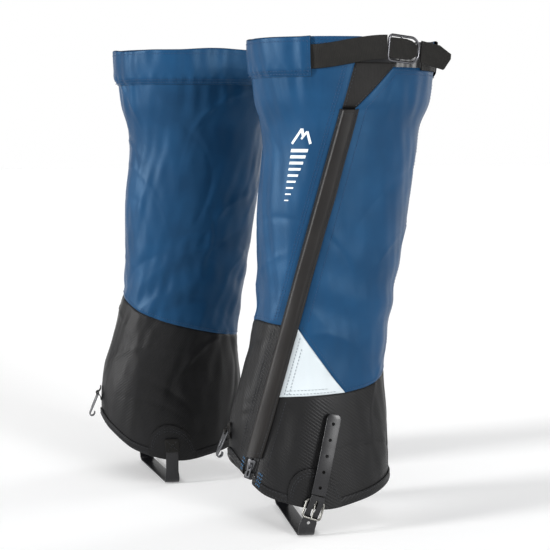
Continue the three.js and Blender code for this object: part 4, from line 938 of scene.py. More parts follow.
def casing():
    """Folded over the rim: up the outside, over the top and down inside."""
    angles = np.linspace(CASING_END_ANGLE, UPPER_BACK_SEAM - 360, 300)[:, None]
    roll = np.radians(np.linspace(0, 180, 9))[1:-1]
    rises = np.concatenate([np.linspace(0, 35.2, 26), 35.2 + 1.6 * np.sin(roll), [34.6, 24]])
    # tucked in under the seam at its foot, and swelling over the webbing
    swell = np.clip(rises[:26] / 7, 0, 1)
    outside = part_way(BODY + 0.75, CASING_LIFT + 0.5, swell * swell * (3 - 2 * swell))
    outside = outside + 0.8 * np.sin(np.clip(rises[:26] / 35.2, 0, 1) * math.pi)
    middle, reach = (outside[-1] - 1.3) / 2, (outside[-1] + 1.3) / 2
    lifts = np.concatenate([outside, middle + reach * np.cos(roll), [-1.3, -1.3]])
    grid_angles, rise = np.broadcast_arrays(angles, rises[None, :])
    a = np.radians(grid_angles)
    sway = 0.9 * np.sin(3 * a + hang.gather[0]) + 0.5 * np.sin(8 * a + hang.gather[1])
    heights = CASING_FOOT + rise + sway * np.clip(rise / 36, 0, 1) ** 3
    puckers = 0.35 * np.sin(46 * a + 2 * np.sin(5 * a)) * np.exp(-(((rise - 5) / 5) ** 2)) * (lifts > 0)
    outer = lifted(grid_angles, heights, lifts[None, :] + puckers + hang(grid_angles, CASING_FOOT + rise))
    normal = unit(np.cross(np.gradient(outer, axis=0), np.gradient(outer, axis=1)))
    points, faces, (rows, cols) = thick_sheet(outer, outer + normal * 0.6)
    run = np.concatenate([[0], np.cumsum(np.hypot(np.diff(rises), np.diff(lifts)))])
    uv = cloth_uv(*np.broadcast_arrays(grid_angles, run[None, :] + CASING_FOOT))
    uvs = np.concatenate([uv.reshape(-1, 2), uv.reshape(-1, 2), uv[rows, cols]])
    piece = mesh_piece("top_casing", points, faces, dyed_nylon, uvs)
    dark_from(piece, len(faces), outer.shape, 27)
    fit(piece, "shell", "upper_cloth", "top_casing")


def dark_from(piece, count, shape, column):
    """The faces past a column of a sheet's grid show the cloth's coated back."""
    piece.data.materials.append(coated_back)
    quads = (shape[0] - 1) * (shape[1] - 1)
    index = np.zeros(count, int)
    grid_columns = np.tile(np.arange(shape[1] - 1), shape[0] - 1)
    index[:quads] = grid_columns >= column
    index[quads:] = 1
    piece.data.polygons.foreach_set("material_index", index)


def webbing():
    """Out of the casing in front, climbing to the buckle; behind, out of the casing at the heel."""
    start = float(beside(103.0, float(RIM_HEIGHT), -0.7))
    angles = np.concatenate(
        [np.linspace(start, CASING_END_ANGLE, 40), np.linspace(CASING_END_ANGLE, 132 - 360, 180)[1:]]
    )
    outward = np.clip((angles - CASING_END_ANGLE - 12) / (start - CASING_END_ANGLE - 12), 0, 1)
    outward = outward**2 * (3 - 2 * outward) * 3.2
    heights = webbing_height(angles)
    wave = 0.25 * np.sin(np.radians(angles) * 9)
    lift = WEBBING_LIFT + 0.6 + outward + wave * 0.5 + hang(angles, heights)
    middles = lifted(angles, heights, lift)
    outs = outward_at(angles, heights)
    along = unit(np.gradient(middles, axis=0))
    across = unit(np.cross(outs, along))
    half = np.full(len(angles), WEBBING_WIDTH / 2)
    piece = ribbon("top_webbing", middles, across, outs, half, 1.5, ribbed_webbing, 0.6)
    fit(piece, "shell", "webbing", "top_webbing")


buckle_front = lifted(103.0, webbing_height(103.0), 4.4)
buckle_rear = lifted(128.5, webbing_height(103.0) - 3, 5.4)
top_buckle_place = Place(buckle_front, buckle_rear - buckle_front, outward_at(115.0, webbing_height(103.0)))
TOP_WIRE = 1.2
BUCKLE_LONG, BUCKLE_HIGH, BUCKLE_BAR = 37, 25.5, 15


def top_buckle():
    reach, rise = BUCKLE_LONG - 2 * TOP_WIRE, BUCKLE_HIGH / 2 - TOP_WIRE
    small, large = 4, 9.5
    outline = []
    for cx, cy, radius, start in (
        (reach - large, -rise + large, large, -90),
        (reach - large, rise - large, large, 0),
        (small, rise - small, small, 90),
        (small, -rise + small, small, 180),
    ):
        for k in range(11):
            a = math.radians(start + 9 * k)
            outline.append((cx + radius * math.cos(a) + TOP_WIRE, cy + radius * math.sin(a), 0))
    ring = tube_data(outline, TOP_WIRE * 1.05, closed=True, sides=18)
    bar = [(BUCKLE_BAR, y, 0.15) for y in np.linspace(-rise, rise, 12)]
    bulge = TOP_WIRE * (0.95 + 0.5 * np.exp(-((np.linspace(-1, 1, 12) * 1.15) ** 8)))
    points, faces = joined([ring, tube_data(bar, bulge * 0.78, sides=16)])
    piece = mesh_piece("top_buckle", top_buckle_place(points), faces, black_nickel)
    fit(piece, "top_buckle_body", "dark_steel", "top_buckle")

    # the webbing goes over the middle bar, and its folded end lies under it
    half = WEBBING_WIDTH / 2 - 2
    rows = smooth_path(
        [(2.4, 0, -0.6), (8, 0, 0.6), (12, 0, 1.75), (18, 0, 1.75), (25, 0, 0.6), (33.4, 0, 0.2)], 26
    )
    halves = np.interp(rows[:, 0], [2.4, 4, 20, 27, 33.4], [8.6, half + 0.5, half + 0.5, 8.6, 5.0])
    axis = [top_buckle_place.y] * len(rows)
    slopes = np.gradient(rows, axis=0)
    outs = [
        unit(np.cross(s[0] * top_buckle_place.x + s[2] * top_buckle_place.z, top_buckle_place.y))
        for s in slopes
    ]
    piece = ribbon("buckle_lacing", top_buckle_place(rows), axis, outs, halves, 1.3, ribbed_webbing, 0.55)
    fit(piece, "top_buckle_body", "webbing", "buckle_lacing")

    # the free end, cut at a slant, with its heat-sealed edge
    x = np.linspace(BUCKLE_LONG + 1.25, BUCKLE_LONG + 0.35 + 37, 30)
    t = (x - x[0]) / (x[-1] - x[0])
    top_edge = np.where(t < 0.62, 10 - 1.6 * t / 0.62, 8.4 - 6.6 * (t - 0.62) / 0.38)
    low_edge = -10 - 4 * np.minimum(t / 0.81, 1) + 10.5 * np.clip((t - 0.81) / 0.19, 0, 1)
    middle = np.stack([x, (top_edge + low_edge) / 2, -1.1 * np.sin(t * 2.6) + 0.3], -1)
    halves = (top_edge - low_edge) / 2
    axis = [top_buckle_place.y] * len(x)
    outs = [top_buckle_place.z] * len(x)
    piece = ribbon("webbing_tail", top_buckle_place(middle), axis, outs, halves, 1.4, ribbed_webbing, 0.5)
    fit(piece, "webbing_tail_body", "webbing", "webbing_tail")


# ---- the zip ----
zip_outward = part_way(
    outward_at(zip_angle(float(ZIP_BOTTOM_HEIGHT)), float(ZIP_BOTTOM_HEIGHT)),
    outward_at(zip_angle(float(ZIP_TOP_HEIGHT)), float(ZIP_TOP_HEIGHT)),
    0.25,
)
zip_rearward = unit(np.cross(zip_up, zip_outward))
zip_outward = np.cross(zip_rearward, zip_up)
SLIDER_AT = 9
TEETH_START, TEETH_END = 2.35, ZIP_LENGTH - 1


def zip_place(distance):
    return Place(on_zip(float(distance)), zip_rearward, zip_outward)


def zip_sides():
    place = zip_place(0)
    for name, sign in (("zip_side_front", -1), ("zip_side_rear", 1)):
        distances = np.linspace(TEETH_START + 0.6, TEETH_END - 0.6, 90)
        steps = [0.9, 1.6, 2.9, 4.7, None]
        columns = []
        for step in steps:
            if step is None:
                heights = on_zip(distances)[:, 2]
                columns.append(lifted(beside_zip(heights, sign * 6.0), heights, 0.0))
            else:
                columns.append(on_zip(distances) + zip_rearward * sign * step)
        middle = np.stack(columns, 1)
        normal = unit(np.cross(np.gradient(middle, axis=1), np.gradient(middle, axis=0))) * sign * -1
        if np.dot(normal[10, 1], zip_outward) < 0:
            normal = -normal
        tape = thick_sheet(middle + normal * 0.3, middle - normal * 0.3)
        across = np.array([0.9, 1.6, 2.9, 4.7, 6.0])
        uv = np.stack(np.broadcast_arrays(across[None, :], distances[:, None]), -1)
        rows, cols = tape[2]
        uvs = np.concatenate([uv.reshape(-1, 2), uv.reshape(-1, 2), uv[rows, cols]])
        piece = mesh_piece(f"{name}_tape", tape[0], tape[1], zip_tape_cloth, uvs)
        fit(piece, "shell", "zip_plastic", name)
        # moulded teeth: a waisted block on the tape's edge with a rounded head towards the other row
        tooth = plate_data(
            [
                [
                    (0.35, -0.55),
                    (1.1, -0.42),
                    (2.7, -0.75),
                    (2.9, 0),
                    (2.7, 0.75),
                    (1.1, 0.42),
                    (0.35, 0.55),
                    (0.15, 0),
                ]
            ],
            1.9,
            0.22,
        )
        pitch = 2.6
        parts = []
        for k in range(int((TEETH_END - TEETH_START - 3) / pitch)):
            y = TEETH_START + 1.6 + k * pitch + (pitch / 2 if sign > 0 else 0)
            points = tooth[0] * np.array([sign, 1, 1]) + np.array([0.75 * sign, y, 0])
            parts.append((points, tooth[1]))
        points, faces = joined(parts)
        fit(
            mesh_piece(f"{name}_teeth", place(points), faces, moulded_acetal, sharp=40),
            "shell",
            "zip_plastic",
        )


def zip_slider():
    place = zip_place(SLIDER_AT)
    heart = [
        (-2.0, -5.4),
        (2.0, -5.4),
        (2.9, -3.2),
        (3.7, 1.5),
        (4.0, 4.2),
        (3.2, 5.3),
        (1.2, 5.4),
        (0, 4.6),
        (-1.2, 5.4),
        (-3.2, 5.3),
        (-4.0, 4.2),
        (-3.7, 1.5),
        (-2.9, -3.2),
    ]
    parts = []
    for lift in (1.95, -1.95):
        points, faces = plate_data([heart], 1.2, 0.3)
        parts.append((points + np.array([0, 0, lift]), faces))
    bridge = smooth_path([(0, -2.9, 2.4), (0, -2.6, 4.3), (0, -1.4, 4.95), (0, 1.2, 4.95), (0, 2.2, 4.7)], 14)
    parts.append(tube_data(bridge, 0.62, sides=10))
    parts.append(tube_data([(0, 0, -1.7), (0, 0, 0), (0, 0, 1.7)], 0.55, sides=8))
    points, faces = joined(parts)
    fit(
        mesh_piece("zip_slider", place(points), faces, dull_steel, sharp=35),
        "zip_slider_body",
        "bright_steel",
        "zip_slider",
    )

    outline = [
        (-1.6, 0.7),
        (1.6, 0.7),
        (2.2, -1.2),
        (2.1, -8),
        (2.5, -12.8),
        (1.6, -14),
        (-1.6, -14),
        (-2.5, -12.8),
        (-2.1, -8),
        (-2.2, -1.2),
    ]
    eye = [(-1.15, -0.7), (1.15, -0.7), (1.15, -5.2), (-1.15, -5.2)]
    window = rounded(1.0, -12.2, -7.2, 0.8, 4)
    points, faces = plate_data([outline, eye, window], 1.0, 0.25)
    points = points + np.array([0, 1.3, 3.45])
    fit(
        mesh_piece("zip_pull", place(points), faces, dull_steel, sharp=35),
        "zip_pull_body",
        "bright_steel",
        "zip_pull",
    )

    # the end box
    points, faces = plate_data([rounded(4.1, -3.4, 3.4, 1.0)], 4.2, 0.6)
    points = points - np.array([0, 1.5, 0])
    fit(
        mesh_piece("zip_end_box", zip_place(0)(points), faces, moulded_acetal, sharp=35),
        "shell",
        "zip_plastic",
        "zip_end_box",
    )


def storm_flap():
    distances = np.linspace(17, ZIP_LENGTH + 1, 150)
    profile = np.array(
        [
            (-8.5, 0.95),
            (-7.9, 1.7),
            (-6.6, 4.4),
            (-4.8, 6.0),
            (-2, 6.35),
            (2, 6.35),
            (4.8, 5.9),
            (6.4, 4.3),
            (7.6, 2.9),
            (8.8, 2.5),
        ]
    )
    run = smooth_path(np.column_stack([profile, np.zeros(len(profile))]), 22)[:, :2]
    heights = on_zip(distances)[:, 2]
    draw = np.random.default_rng(5 if side == "left" else 8)
    sway = sum(
        a * np.sin(distances / w + p)
        for a, w, p in zip((0.35, 0.25, 0.2), (31, 17, 9), draw.uniform(0, 6, 3))
    )
    hh = np.broadcast_to(heights[:, None], (len(distances), len(run)))
    free = np.clip((run[:, 0] + 8.5) / 17.3, 0, 1)
    across = run[None, :, 0] + sway[:, None] * free[None, :] * 0.5
    lift = run[None, :, 1] + 0.45 + sway[:, None] * free[None, :] * 0.55
    lift = lift + 0.25 * np.sin(distances[:, None] / 12 + 1.0) * free[None, :] * (1 - free[None, :]) * 4
    outer = lifted(beside_zip(hh, across), hh, lift)
    normal = unit(np.cross(np.gradient(outer, axis=1), np.gradient(outer, axis=0)))
    points, faces, (rows, cols) = thick_sheet(outer, outer - normal * THIN)
    uv = np.stack(np.broadcast_arrays(across, distances[:, None]), -1)
    uvs = np.concatenate([uv.reshape(-1, 2), uv.reshape(-1, 2), uv[rows, cols]])
    piece = mesh_piece("storm_flap", points, faces, flap_cloth, uvs)
    fit(piece, "storm_flap_body", "flap_cloth", "storm_flap")
    parts = []
    for column in (2, 19):
        parts.append(stitch_data(outer[:, column], normal[:, column]))
    for row in (2, -3):
        parts.append(stitch_data(outer[row, 2:20], normal[row, 2:20]))
    points, faces = joined(parts)
    fit(mesh_piece("flap_stitching", points, faces, black_thread), "storm_flap_body", "flap_cloth")

    # loop tape on the rear panel, which holds the flap shut
    distances = np.linspace(17, ZIP_LENGTH - 3, 90)
    heights = on_zip(distances)[:, 2]
    columns = np.linspace(6.75, 8.6, 4)
    hh = np.broadcast_to(heights[:, None], (90, 4))
    angles = beside_zip(hh, np.broadcast_to(columns[None, :], (90, 4)))
    outer = lifted(angles, hh, 1.55)
    points, faces, (rows, cols) = thick_sheet(outer, lifted(angles, hh, 1.0))
    uv = np.stack(np.broadcast_arrays(columns[None, :], distances[:, None]), -1)
    uvs = np.concatenate([uv.reshape(-1, 2), uv.reshape(-1, 2), uv[rows, cols]])
    piece = mesh_piece("flap_loop_strip", points, faces, stretch_knit, uvs)
    fit(piece, "shell", "flap_cloth", "flap_loop_strip")


# ---- the hem ----
PATCH_ANGLE, PATCH_HALF_ANGLE, PATCH_HEIGHT, PATCH_SHOULDER = 81, 18.5, 38, 4


def patch_rise(u):
    return PATCH_SHOULDER + (PATCH_HEIGHT - PATCH_SHOULDER) * np.sqrt(np.clip(1 - (2 * u - 1) ** 2, 0, 1))


def hem_pieces():
    front, rear = hem_corner(-ZIP_HALF_GAP)[0], hem_corner(ZIP_HALF_GAP)[0]
    angles = np.linspace(front, rear - 360, 260)[:, None]
    # up the outside from the fold, and from the fold up the inside
    fold = np.radians(np.linspace(90, -90, 7))
    rises = np.concatenate([np.linspace(8, 0.2, 7)[:-1], 0.2 - 1.1 * np.cos(fold), [2.5, 4.5]])
    lifts = np.concatenate(
        [
            HEM_LIFT + 0.5 + 0.3 * np.sin(np.linspace(0, math.pi, 7)[:-1]),
            0.15 + 1.45 * np.sin(fold),
            [-1.3, -1.3],
        ]
    )
    grid_angles, rise = np.broadcast_arrays(angles, rises[None, :])
    heights = hem_height(grid_angles) + rise
    outer = lifted(
        grid_angles, heights, lifts[None, :] + hang(grid_angles, hem_height(grid_angles) + np.abs(rise))
    )
    normal = unit(np.cross(np.gradient(outer, axis=0), np.gradient(outer, axis=1)))
    points, faces, (rows, cols) = thick_sheet(outer, outer - normal * 0.5)
    run = np.concatenate([[0], np.cumsum(np.hypot(np.diff(rises), np.diff(lifts)))])
    uv = cloth_uv(*np.broadcast_arrays(grid_angles, run[None, :]))
    uvs = np.concatenate([uv.reshape(-1, 2), uv.reshape(-1, 2), uv[rows, cols]])
    piece = mesh_piece("hem_band", points, faces, ballistic_nylon, uvs)
    fit(piece, "shell", "lower_cloth", "hem_band")
    for name, centre in (("outer_patch", PATCH_ANGLE), ("inner_patch", -PATCH_ANGLE)):
        u = (1 - np.cos(math.pi * np.linspace(0, 1, 48))) / 2
        v = np.linspace(0, 1, 22)
        grid_angles = np.broadcast_to(
            (centre + part_way(-PATCH_HALF_ANGLE, PATCH_HALF_ANGLE, u))[:, None], (48, 22)
        )
        heights = hem_height(grid_angles) + patch_rise(u)[:, None] * v[None, :]
        piece, size = sewn(
            name, grid_angles[::-1], heights[::-1], PATCH_LIFT, PATCH_LIFT + THIN, ballistic_nylon
        )
        fit(piece, "shell", "lower_cloth", name)


def body_stitching():
    wide = np.linspace(CASING_END_ANGLE - 1, UPPER_BACK_SEAM - 360 + 2, 400)
    casing_lift = CASING_LIFT - 0.2
    blue, black, white, bright = [], [], [], []
    for height, more in ((CASING_FOOT + 2.2, 0.35), (CASING_FOOT + 5.2, 0.75), (RIM_HEIGHT - 4, 0.9)):
        blue.append(row_on_cloth(wide, height, casing_lift + more))
    up = np.linspace(CASING_FOOT + 3, RIM_HEIGHT - 3, 30)
    blue.append(row_on_cloth(CASING_END_ANGLE - 1.6, up, CASING_LIFT + 0.8))
    short = np.linspace(CASING_END_ANGLE + 1, 84, 40)
    for height in (RIM_HEIGHT - 2.5, RIM_HEIGHT - 5.5):
        blue.append(row_on_cloth(short, height, BODY))
    heel = np.linspace(float(rear_edge(float(REAR_RIM_HEIGHT))) + 1, UPPER_BACK_SEAM - 1, 60)
    for height in (REAR_RIM_HEIGHT - 2.5, REAR_RIM_HEIGHT - 6):
        blue.append(row_on_cloth(heel, height, BODY))
    upper = np.linspace(TRIANGLE_TOP + 4, RIM_HEIGHT - 8, 120)
    for distance in (-16.5, -13.8):
        blue.append(row_on_cloth(beside(front_edge(upper), upper, distance + ZIP_HALF_GAP), upper, BODY))
    upper = np.linspace(TRIANGLE_TOP + 4, REAR_RIM_HEIGHT - 8, 120)
    blue.append(row_on_cloth(beside(rear_edge(upper), upper, 9.5), upper, BODY))
    lower = np.linspace(76, TRIANGLE_TOP - 4, 70)
    for distance in (-16.5, -13.8):
        black.append(row_on_cloth(beside(front_edge(lower), lower, distance + ZIP_HALF_GAP), lower, BODY))
    lower = np.linspace(64, TRIANGLE_CORNER - 4, 40)
    black.append(row_on_cloth(beside(rear_edge(lower), lower, 9.5), lower, BODY))
    round_front = np.linspace(float(front_edge(200.0)) - 9, UPPER_BACK_SEAM - 360, 300)
    blue.append(row_on_cloth(round_front, seam_height(round_front) + 3, BODY))
    round_rear = np.linspace(TRIANGLE_TIP_ANGLE, UPPER_BACK_SEAM - 1, 60)
    blue.append(row_on_cloth(round_rear, seam_height(round_rear) + 3, BODY))
    tall = np.linspace(float(seam_height(-188.0)) + 6, RIM_HEIGHT - 40, 120)
    for shift in (-2.5, 2.5):
        blue.append(row_on_cloth(UPPER_BACK_SEAM + shift, tall, BODY))
    t = np.linspace(0.04, 0.94, 40)
    slope = (
        part_way(float(rear_edge(197.0)), TRIANGLE_TIP_ANGLE, t), part_way(TRIANGLE_TOP, SEAM_OUTER_HEIGHT, t)
    )
    blue.append(row_on_cloth(beside(slope[0], slope[1], 3.0), slope[1] + 2.0, BODY))
    for inset, rise in ((6.3, 2.2), (10.3, 5.6)):
        up = np.linspace(TRIANGLE_CORNER + 2, TRIANGLE_TOP - 2.6 * inset + 6, 26)
        white.append(row_on_cloth(beside(rear_edge(up), up, inset), up, BODY))
        foot = np.linspace(0.12, 0.93 - rise / 28, 30)
        edge_angle = part_way(float(rear_edge(130.0)), TRIANGLE_TIP_ANGLE, foot)
        white.append(
            row_on_cloth(edge_angle, part_way(TRIANGLE_CORNER, SEAM_OUTER_HEIGHT, foot) + rise, BODY)
        )
    for edge_at, shift in ((front_edge, 2.2), (rear_edge, -2.2)):
        rise = np.linspace(GUSSET_FOOT + 1, GUSSET_TOP - 2, 20)
        black.append(row_on_cloth(beside(edge_at(rise), rise, shift), rise, BODY))
    front, rear = hem_corner(-ZIP_HALF_GAP)[0], hem_corner(ZIP_HALF_GAP)[0]
    around = np.linspace(front - 1, rear - 359, 400)
    for rise in (1.6, 6.6):
        black.append(row_on_cloth(around, hem_height(around) + rise, HEM_LIFT + 0.6))
    for centre in (PATCH_ANGLE, -PATCH_ANGLE):
        for inset in (0.9, 0.83):
            u = (1 - np.cos(math.pi * np.linspace(0.03, 0.97, 60))) / 2
            angle = centre + part_way(-PATCH_HALF_ANGLE, PATCH_HALF_ANGLE, u) * inset
            black.append(row_on_cloth(angle, hem_height(angle) + patch_rise(u) * inset, PATCH_LIFT + THIN))
    for place, turn in ((-PATCH_ANGLE, -1), (-PATCH_ANGLE, 1)):
        t = np.linspace(-1, 1, 12)
        angle = beside(place, 42.0, t * 5.4 * turn)
        black.append(row_on_cloth(angle, 42 + t * 5.4, TAB_LIFT + 3.3))
    # bar tacks at both corners of the zip's lower end
    for distance, height in ((-10.5, 0.0), (-8.8, 0.0), (10.5, 0.0), (12.2, 0.0), (13.9, 0.0)):
        corner = hem_corner(distance)
        rise = np.linspace(corner[1] + 1.5, corner[1] + 15, 14)
        bright.append(row_on_cloth(beside_zip(rise, distance), rise, HEM_LIFT + 0.7))
    for name, rows, thread, slot in (
        ("upper_stitching", blue, blue_thread, "upper_cloth"),
        ("lower_stitching", black, black_thread, "lower_cloth"),
        ("triangle_stitching", white, grey_thread, "reflective_film"),
        ("bar_tacks", bright, bright_thread, "upper_cloth"),
    ):
        points, faces = joined(rows)
        fit(mesh_piece(name, points, faces, thread), "shell", slot)


PRINT_SCALE, PRINT_HEIGHT, PRINT_BESIDE_FLAP = 1.25, 366, 33


def printed_mark():
    """A generic print beside the flap: two plain peaks over a row of bars."""
    bars = [
        ((-6, 0), (0, 11), 2.2), ((0, 11), (3, 5), 2.2), ((1.5, 3.5), (5, 9), 1.8), ((5, 9), (10, 0), 1.8)
    ]
    bars += [((-5.5 + 0.7 * k, -5 - 4.6 * k), (9.5 - 0.7 * k, -5 - 4.6 * k), 2.4 - 0.2 * k) for k in range(9)]
    parts = []
    for (x0, y0), (x1, y1), width in bars:
        start, end = np.array([x0, y0], float), np.array([x1, y1], float)
        side_way = np.array([y0 - y1, x1 - x0]) / np.hypot(x1 - x0, y1 - y0) * width / 2
        s, w = np.linspace(0, 1, 14)[:, None, None], np.linspace(-1, 1, 4)[None, :, None]
        flat = (start + (end - start) * s + side_way * w) * PRINT_SCALE
        height = PRINT_HEIGHT + flat[..., 1]
        angle = beside(front_edge(height), height, flat[..., 0] - PRINT_BESIDE_FLAP)
        outer, inner = draped(angle, height, BODY + 0.22), draped(angle, height, BODY + 0.08)
        points, faces, _ = thick_sheet(outer, inner)
        parts.append((points, faces))
    points, faces = joined(parts)
    fit(mesh_piece("printed_mark", points, faces, pressed_vinyl), "shell", "reflective_film")


# ---- the instep strap and its pin buckle ----
STRAP, STRAP_WIDTH, FOOT_WIDTH, STRAP_TURN = 1.5, 13.5, 15.5, 8
PIN_HEIGHT, PIN_WIDTH, PIN_REACH, PIN_WIRE, PRONG = 34, 17.2, 16.5, 1.1, 0.9
HEEL_BAR_LIFT = TAB_LIFT + PIN_WIRE + 0.35 + 1.2 + 0.4
PIN_TILT = math.radians(6.5)
OVER_BAR = PIN_WIRE + 0.35 + 1.2 + 0.35 + STRAP / 2
BEHIND_BAR = math.sin(PIN_TILT) * PIN_REACH - PIN_WIRE - 0.35 - STRAP / 2


def strap_place(lean):
    outward = outward_at(float(PATCH_ANGLE), float(PIN_HEIGHT)) * np.array([1, 1, 0])
    outward = unit(outward)
    heelward = np.cross((0, 0, 1), outward)
    a = math.radians(lean)
    x = heelward * math.cos(a) - np.array([0, 0, 1]) * math.sin(a)
    return Place(lifted(float(PATCH_ANGLE), float(PIN_HEIGHT), HEEL_BAR_LIFT), x, outward)


buckle_place, tail_place = strap_place(19), strap_place(13)


def tilted(points):
    """Points in the strap's frame, with the buckle's end bar standing out."""
    points = np.array(points, float)
    y, z = points[..., 1].copy(), points[..., 2].copy()
    points[..., 1] = y * math.cos(PIN_TILT) + z * math.sin(PIN_TILT)
    points[..., 2] = -y * math.sin(PIN_TILT) + z * math.cos(PIN_TILT)
    return points


def hole_tool(place, x, y, half_x, half_y):
    outline = [
        (x + half_x * math.cos(a), y + half_y * math.sin(a))
        for a in np.linspace(0, 2 * math.pi, 20, endpoint=False)
    ]
    bottom = np.array([(px, py, -9.0) for px, py in outline])
    top = bottom + np.array([0, 0, 18.0])
    faces = grid_faces(2, 20, wrap_columns=True)
    faces = [face[::-1] for face in faces]
    faces.append(list(range(20))[::-1])
    faces.append([20 + k for k in range(20)])
    return place(np.concatenate([bottom, top])), faces


def instep_strap():
    """Down through the buckle, under the foot and up to the tab on the inner side."""
    turn_height = STRAP_TURN + STRAP / 2
    out = buckle_place.z
    heel = np.cross((0, 0, 1), out)
    flat = buckle_place(
        [
            (0, 5.9, OVER_BAR),
            (0, -1, OVER_BAR),
            (0, -8, OVER_BAR - 2.0),
            (0, -16.5, BEHIND_BAR),
            (0, -(PIN_HEIGHT - turn_height) / math.cos(math.radians(19)), BEHIND_BAR),
        ]
    )
    corner = flat[-1]
    inner_end = lifted(float(-PATCH_ANGLE), 42.0, TAB_LIFT + STRAP / 2)
    inner_out = unit(outward_at(float(-PATCH_ANGLE), 42.0) * np.array([1, 1, 0]))
    inner_across = np.cross(inner_out, (0, 0, 1))
    middles, acrosses, outs, halves = list(smooth_path(flat, 26)), [], [], []
    run = np.linspace(5.9, -26, 26)
    for y in run:
        acrosses.append(buckle_place.x)
        outs.append(out)
        halves.append(float(np.interp(y, [-20, -17], [FOOT_WIDTH / 2, STRAP_WIDTH / 2])))

    def bend(top, outward, across, angles):
        for degrees in angles:
            a = math.radians(degrees)
            point = top - outward * STRAP_TURN * (1 - math.cos(a))
            point = np.array([point[0], point[1], turn_height - STRAP_TURN * math.sin(a)])
            middles.append(point)
            acrosses.append(across)
            outs.append(unit(outward * math.cos(a) - np.array([0, 0, 1]) * math.sin(a)))
            halves.append(FOOT_WIDTH / 2)

    bend(corner, out, heel, range(12, 91, 13))
    low = middles[-1]
    inner_top = np.array([inner_end[0], inner_end[1], turn_height])
    far = inner_top - inner_out * STRAP_TURN
    far = np.array([far[0], far[1], STRAP / 2])
    for t in np.linspace(0, 1, 12)[1:-1]:
        middles.append(part_way(low, far, t))
        acrosses.append(unit(part_way(heel, inner_across, t)))
        outs.append(np.array([0, 0, -1.0]))
        halves.append(FOOT_WIDTH / 2)
    bend(inner_top, inner_out, inner_across, range(90, -1, -13))
    for height in (14, 22, 30, 38, 44, 48.6):
        middles.append(np.array([inner_end[0], inner_end[1], height]))
        acrosses.append(inner_across)
        outs.append(inner_out)
        halves.append(STRAP_WIDTH / 2)
    piece = ribbon("instep_strap", middles, acrosses, outs, halves, STRAP, satin_urethane, 0.5)
    tools = [hole_tool(buckle_place, 0, -6.3, 1.9, 8.65), hole_tool(buckle_place, 0, -21.5, 1.6, 1.6)]
    fit(punched(piece, tools), "shell", "strap_plastic", "instep_strap")

    start = 6 + STRAP_WIDTH / 2 * math.sin(math.radians(6)) + 0.35
    end = start + 76
    resting = BODY + 0.7 + STRAP / 2 - HEEL_BAR_LIFT
    rows = smooth_path(
        [
            (0, start, OVER_BAR),
            (0, start + 23, OVER_BAR - 0.6),
            (0, start + 46, part_way(OVER_BAR, resting, 0.45)),
            (0, end - 4, resting + 0.4),
            (0, end, resting),
        ],
        44,
    )
    halves = np.where(
        rows[:, 1] > end - 4.5,
        STRAP_WIDTH / 2 * np.sqrt(np.clip(1 - ((rows[:, 1] - end + 4.5) / 5.4) ** 2, 0.05, 1)),
        STRAP_WIDTH / 2,
    )
    piece = ribbon(
        "strap_tail",
        tail_place(rows),
        [tail_place.x] * 44,
        [tail_place.z] * 44,
        halves,
        STRAP,
        satin_urethane,
        0.5,
    )
    tools = [hole_tool(tail_place, 0, end - 9 - k * 15, 1.6, 1.6) for k in range(5)]
    fit(punched(piece, tools), "strap_tail_body", "strap_plastic", "strap_tail")

    # the square of webbing that is sewn over the strap's inner end
    columns, rows_ = np.linspace(-6.9, 6.9, 8), np.linspace(35.2, 48.8, 8)
    hh = np.broadcast_to(rows_[None, :], (8, 8))
    angles = beside(-PATCH_ANGLE + 0 * hh, hh, np.broadcast_to(columns[::-1, None], (8, 8)))
    low = TAB_LIFT + STRAP + 0.55
    outer = lifted(angles, hh, low + 1.2)
    points, faces, (r, c) = thick_sheet(outer, lifted(angles, hh, low))
    uv = np.stack(np.broadcast_arrays(columns[:, None], rows_[None, :]), -1)
    uvs = np.concatenate([uv.reshape(-1, 2), uv.reshape(-1, 2), uv[r, c]])
    piece = mesh_piece("inner_anchor", points, faces, ribbed_webbing, uvs)
    fit(piece, "shell", "webbing", "inner_anchor")


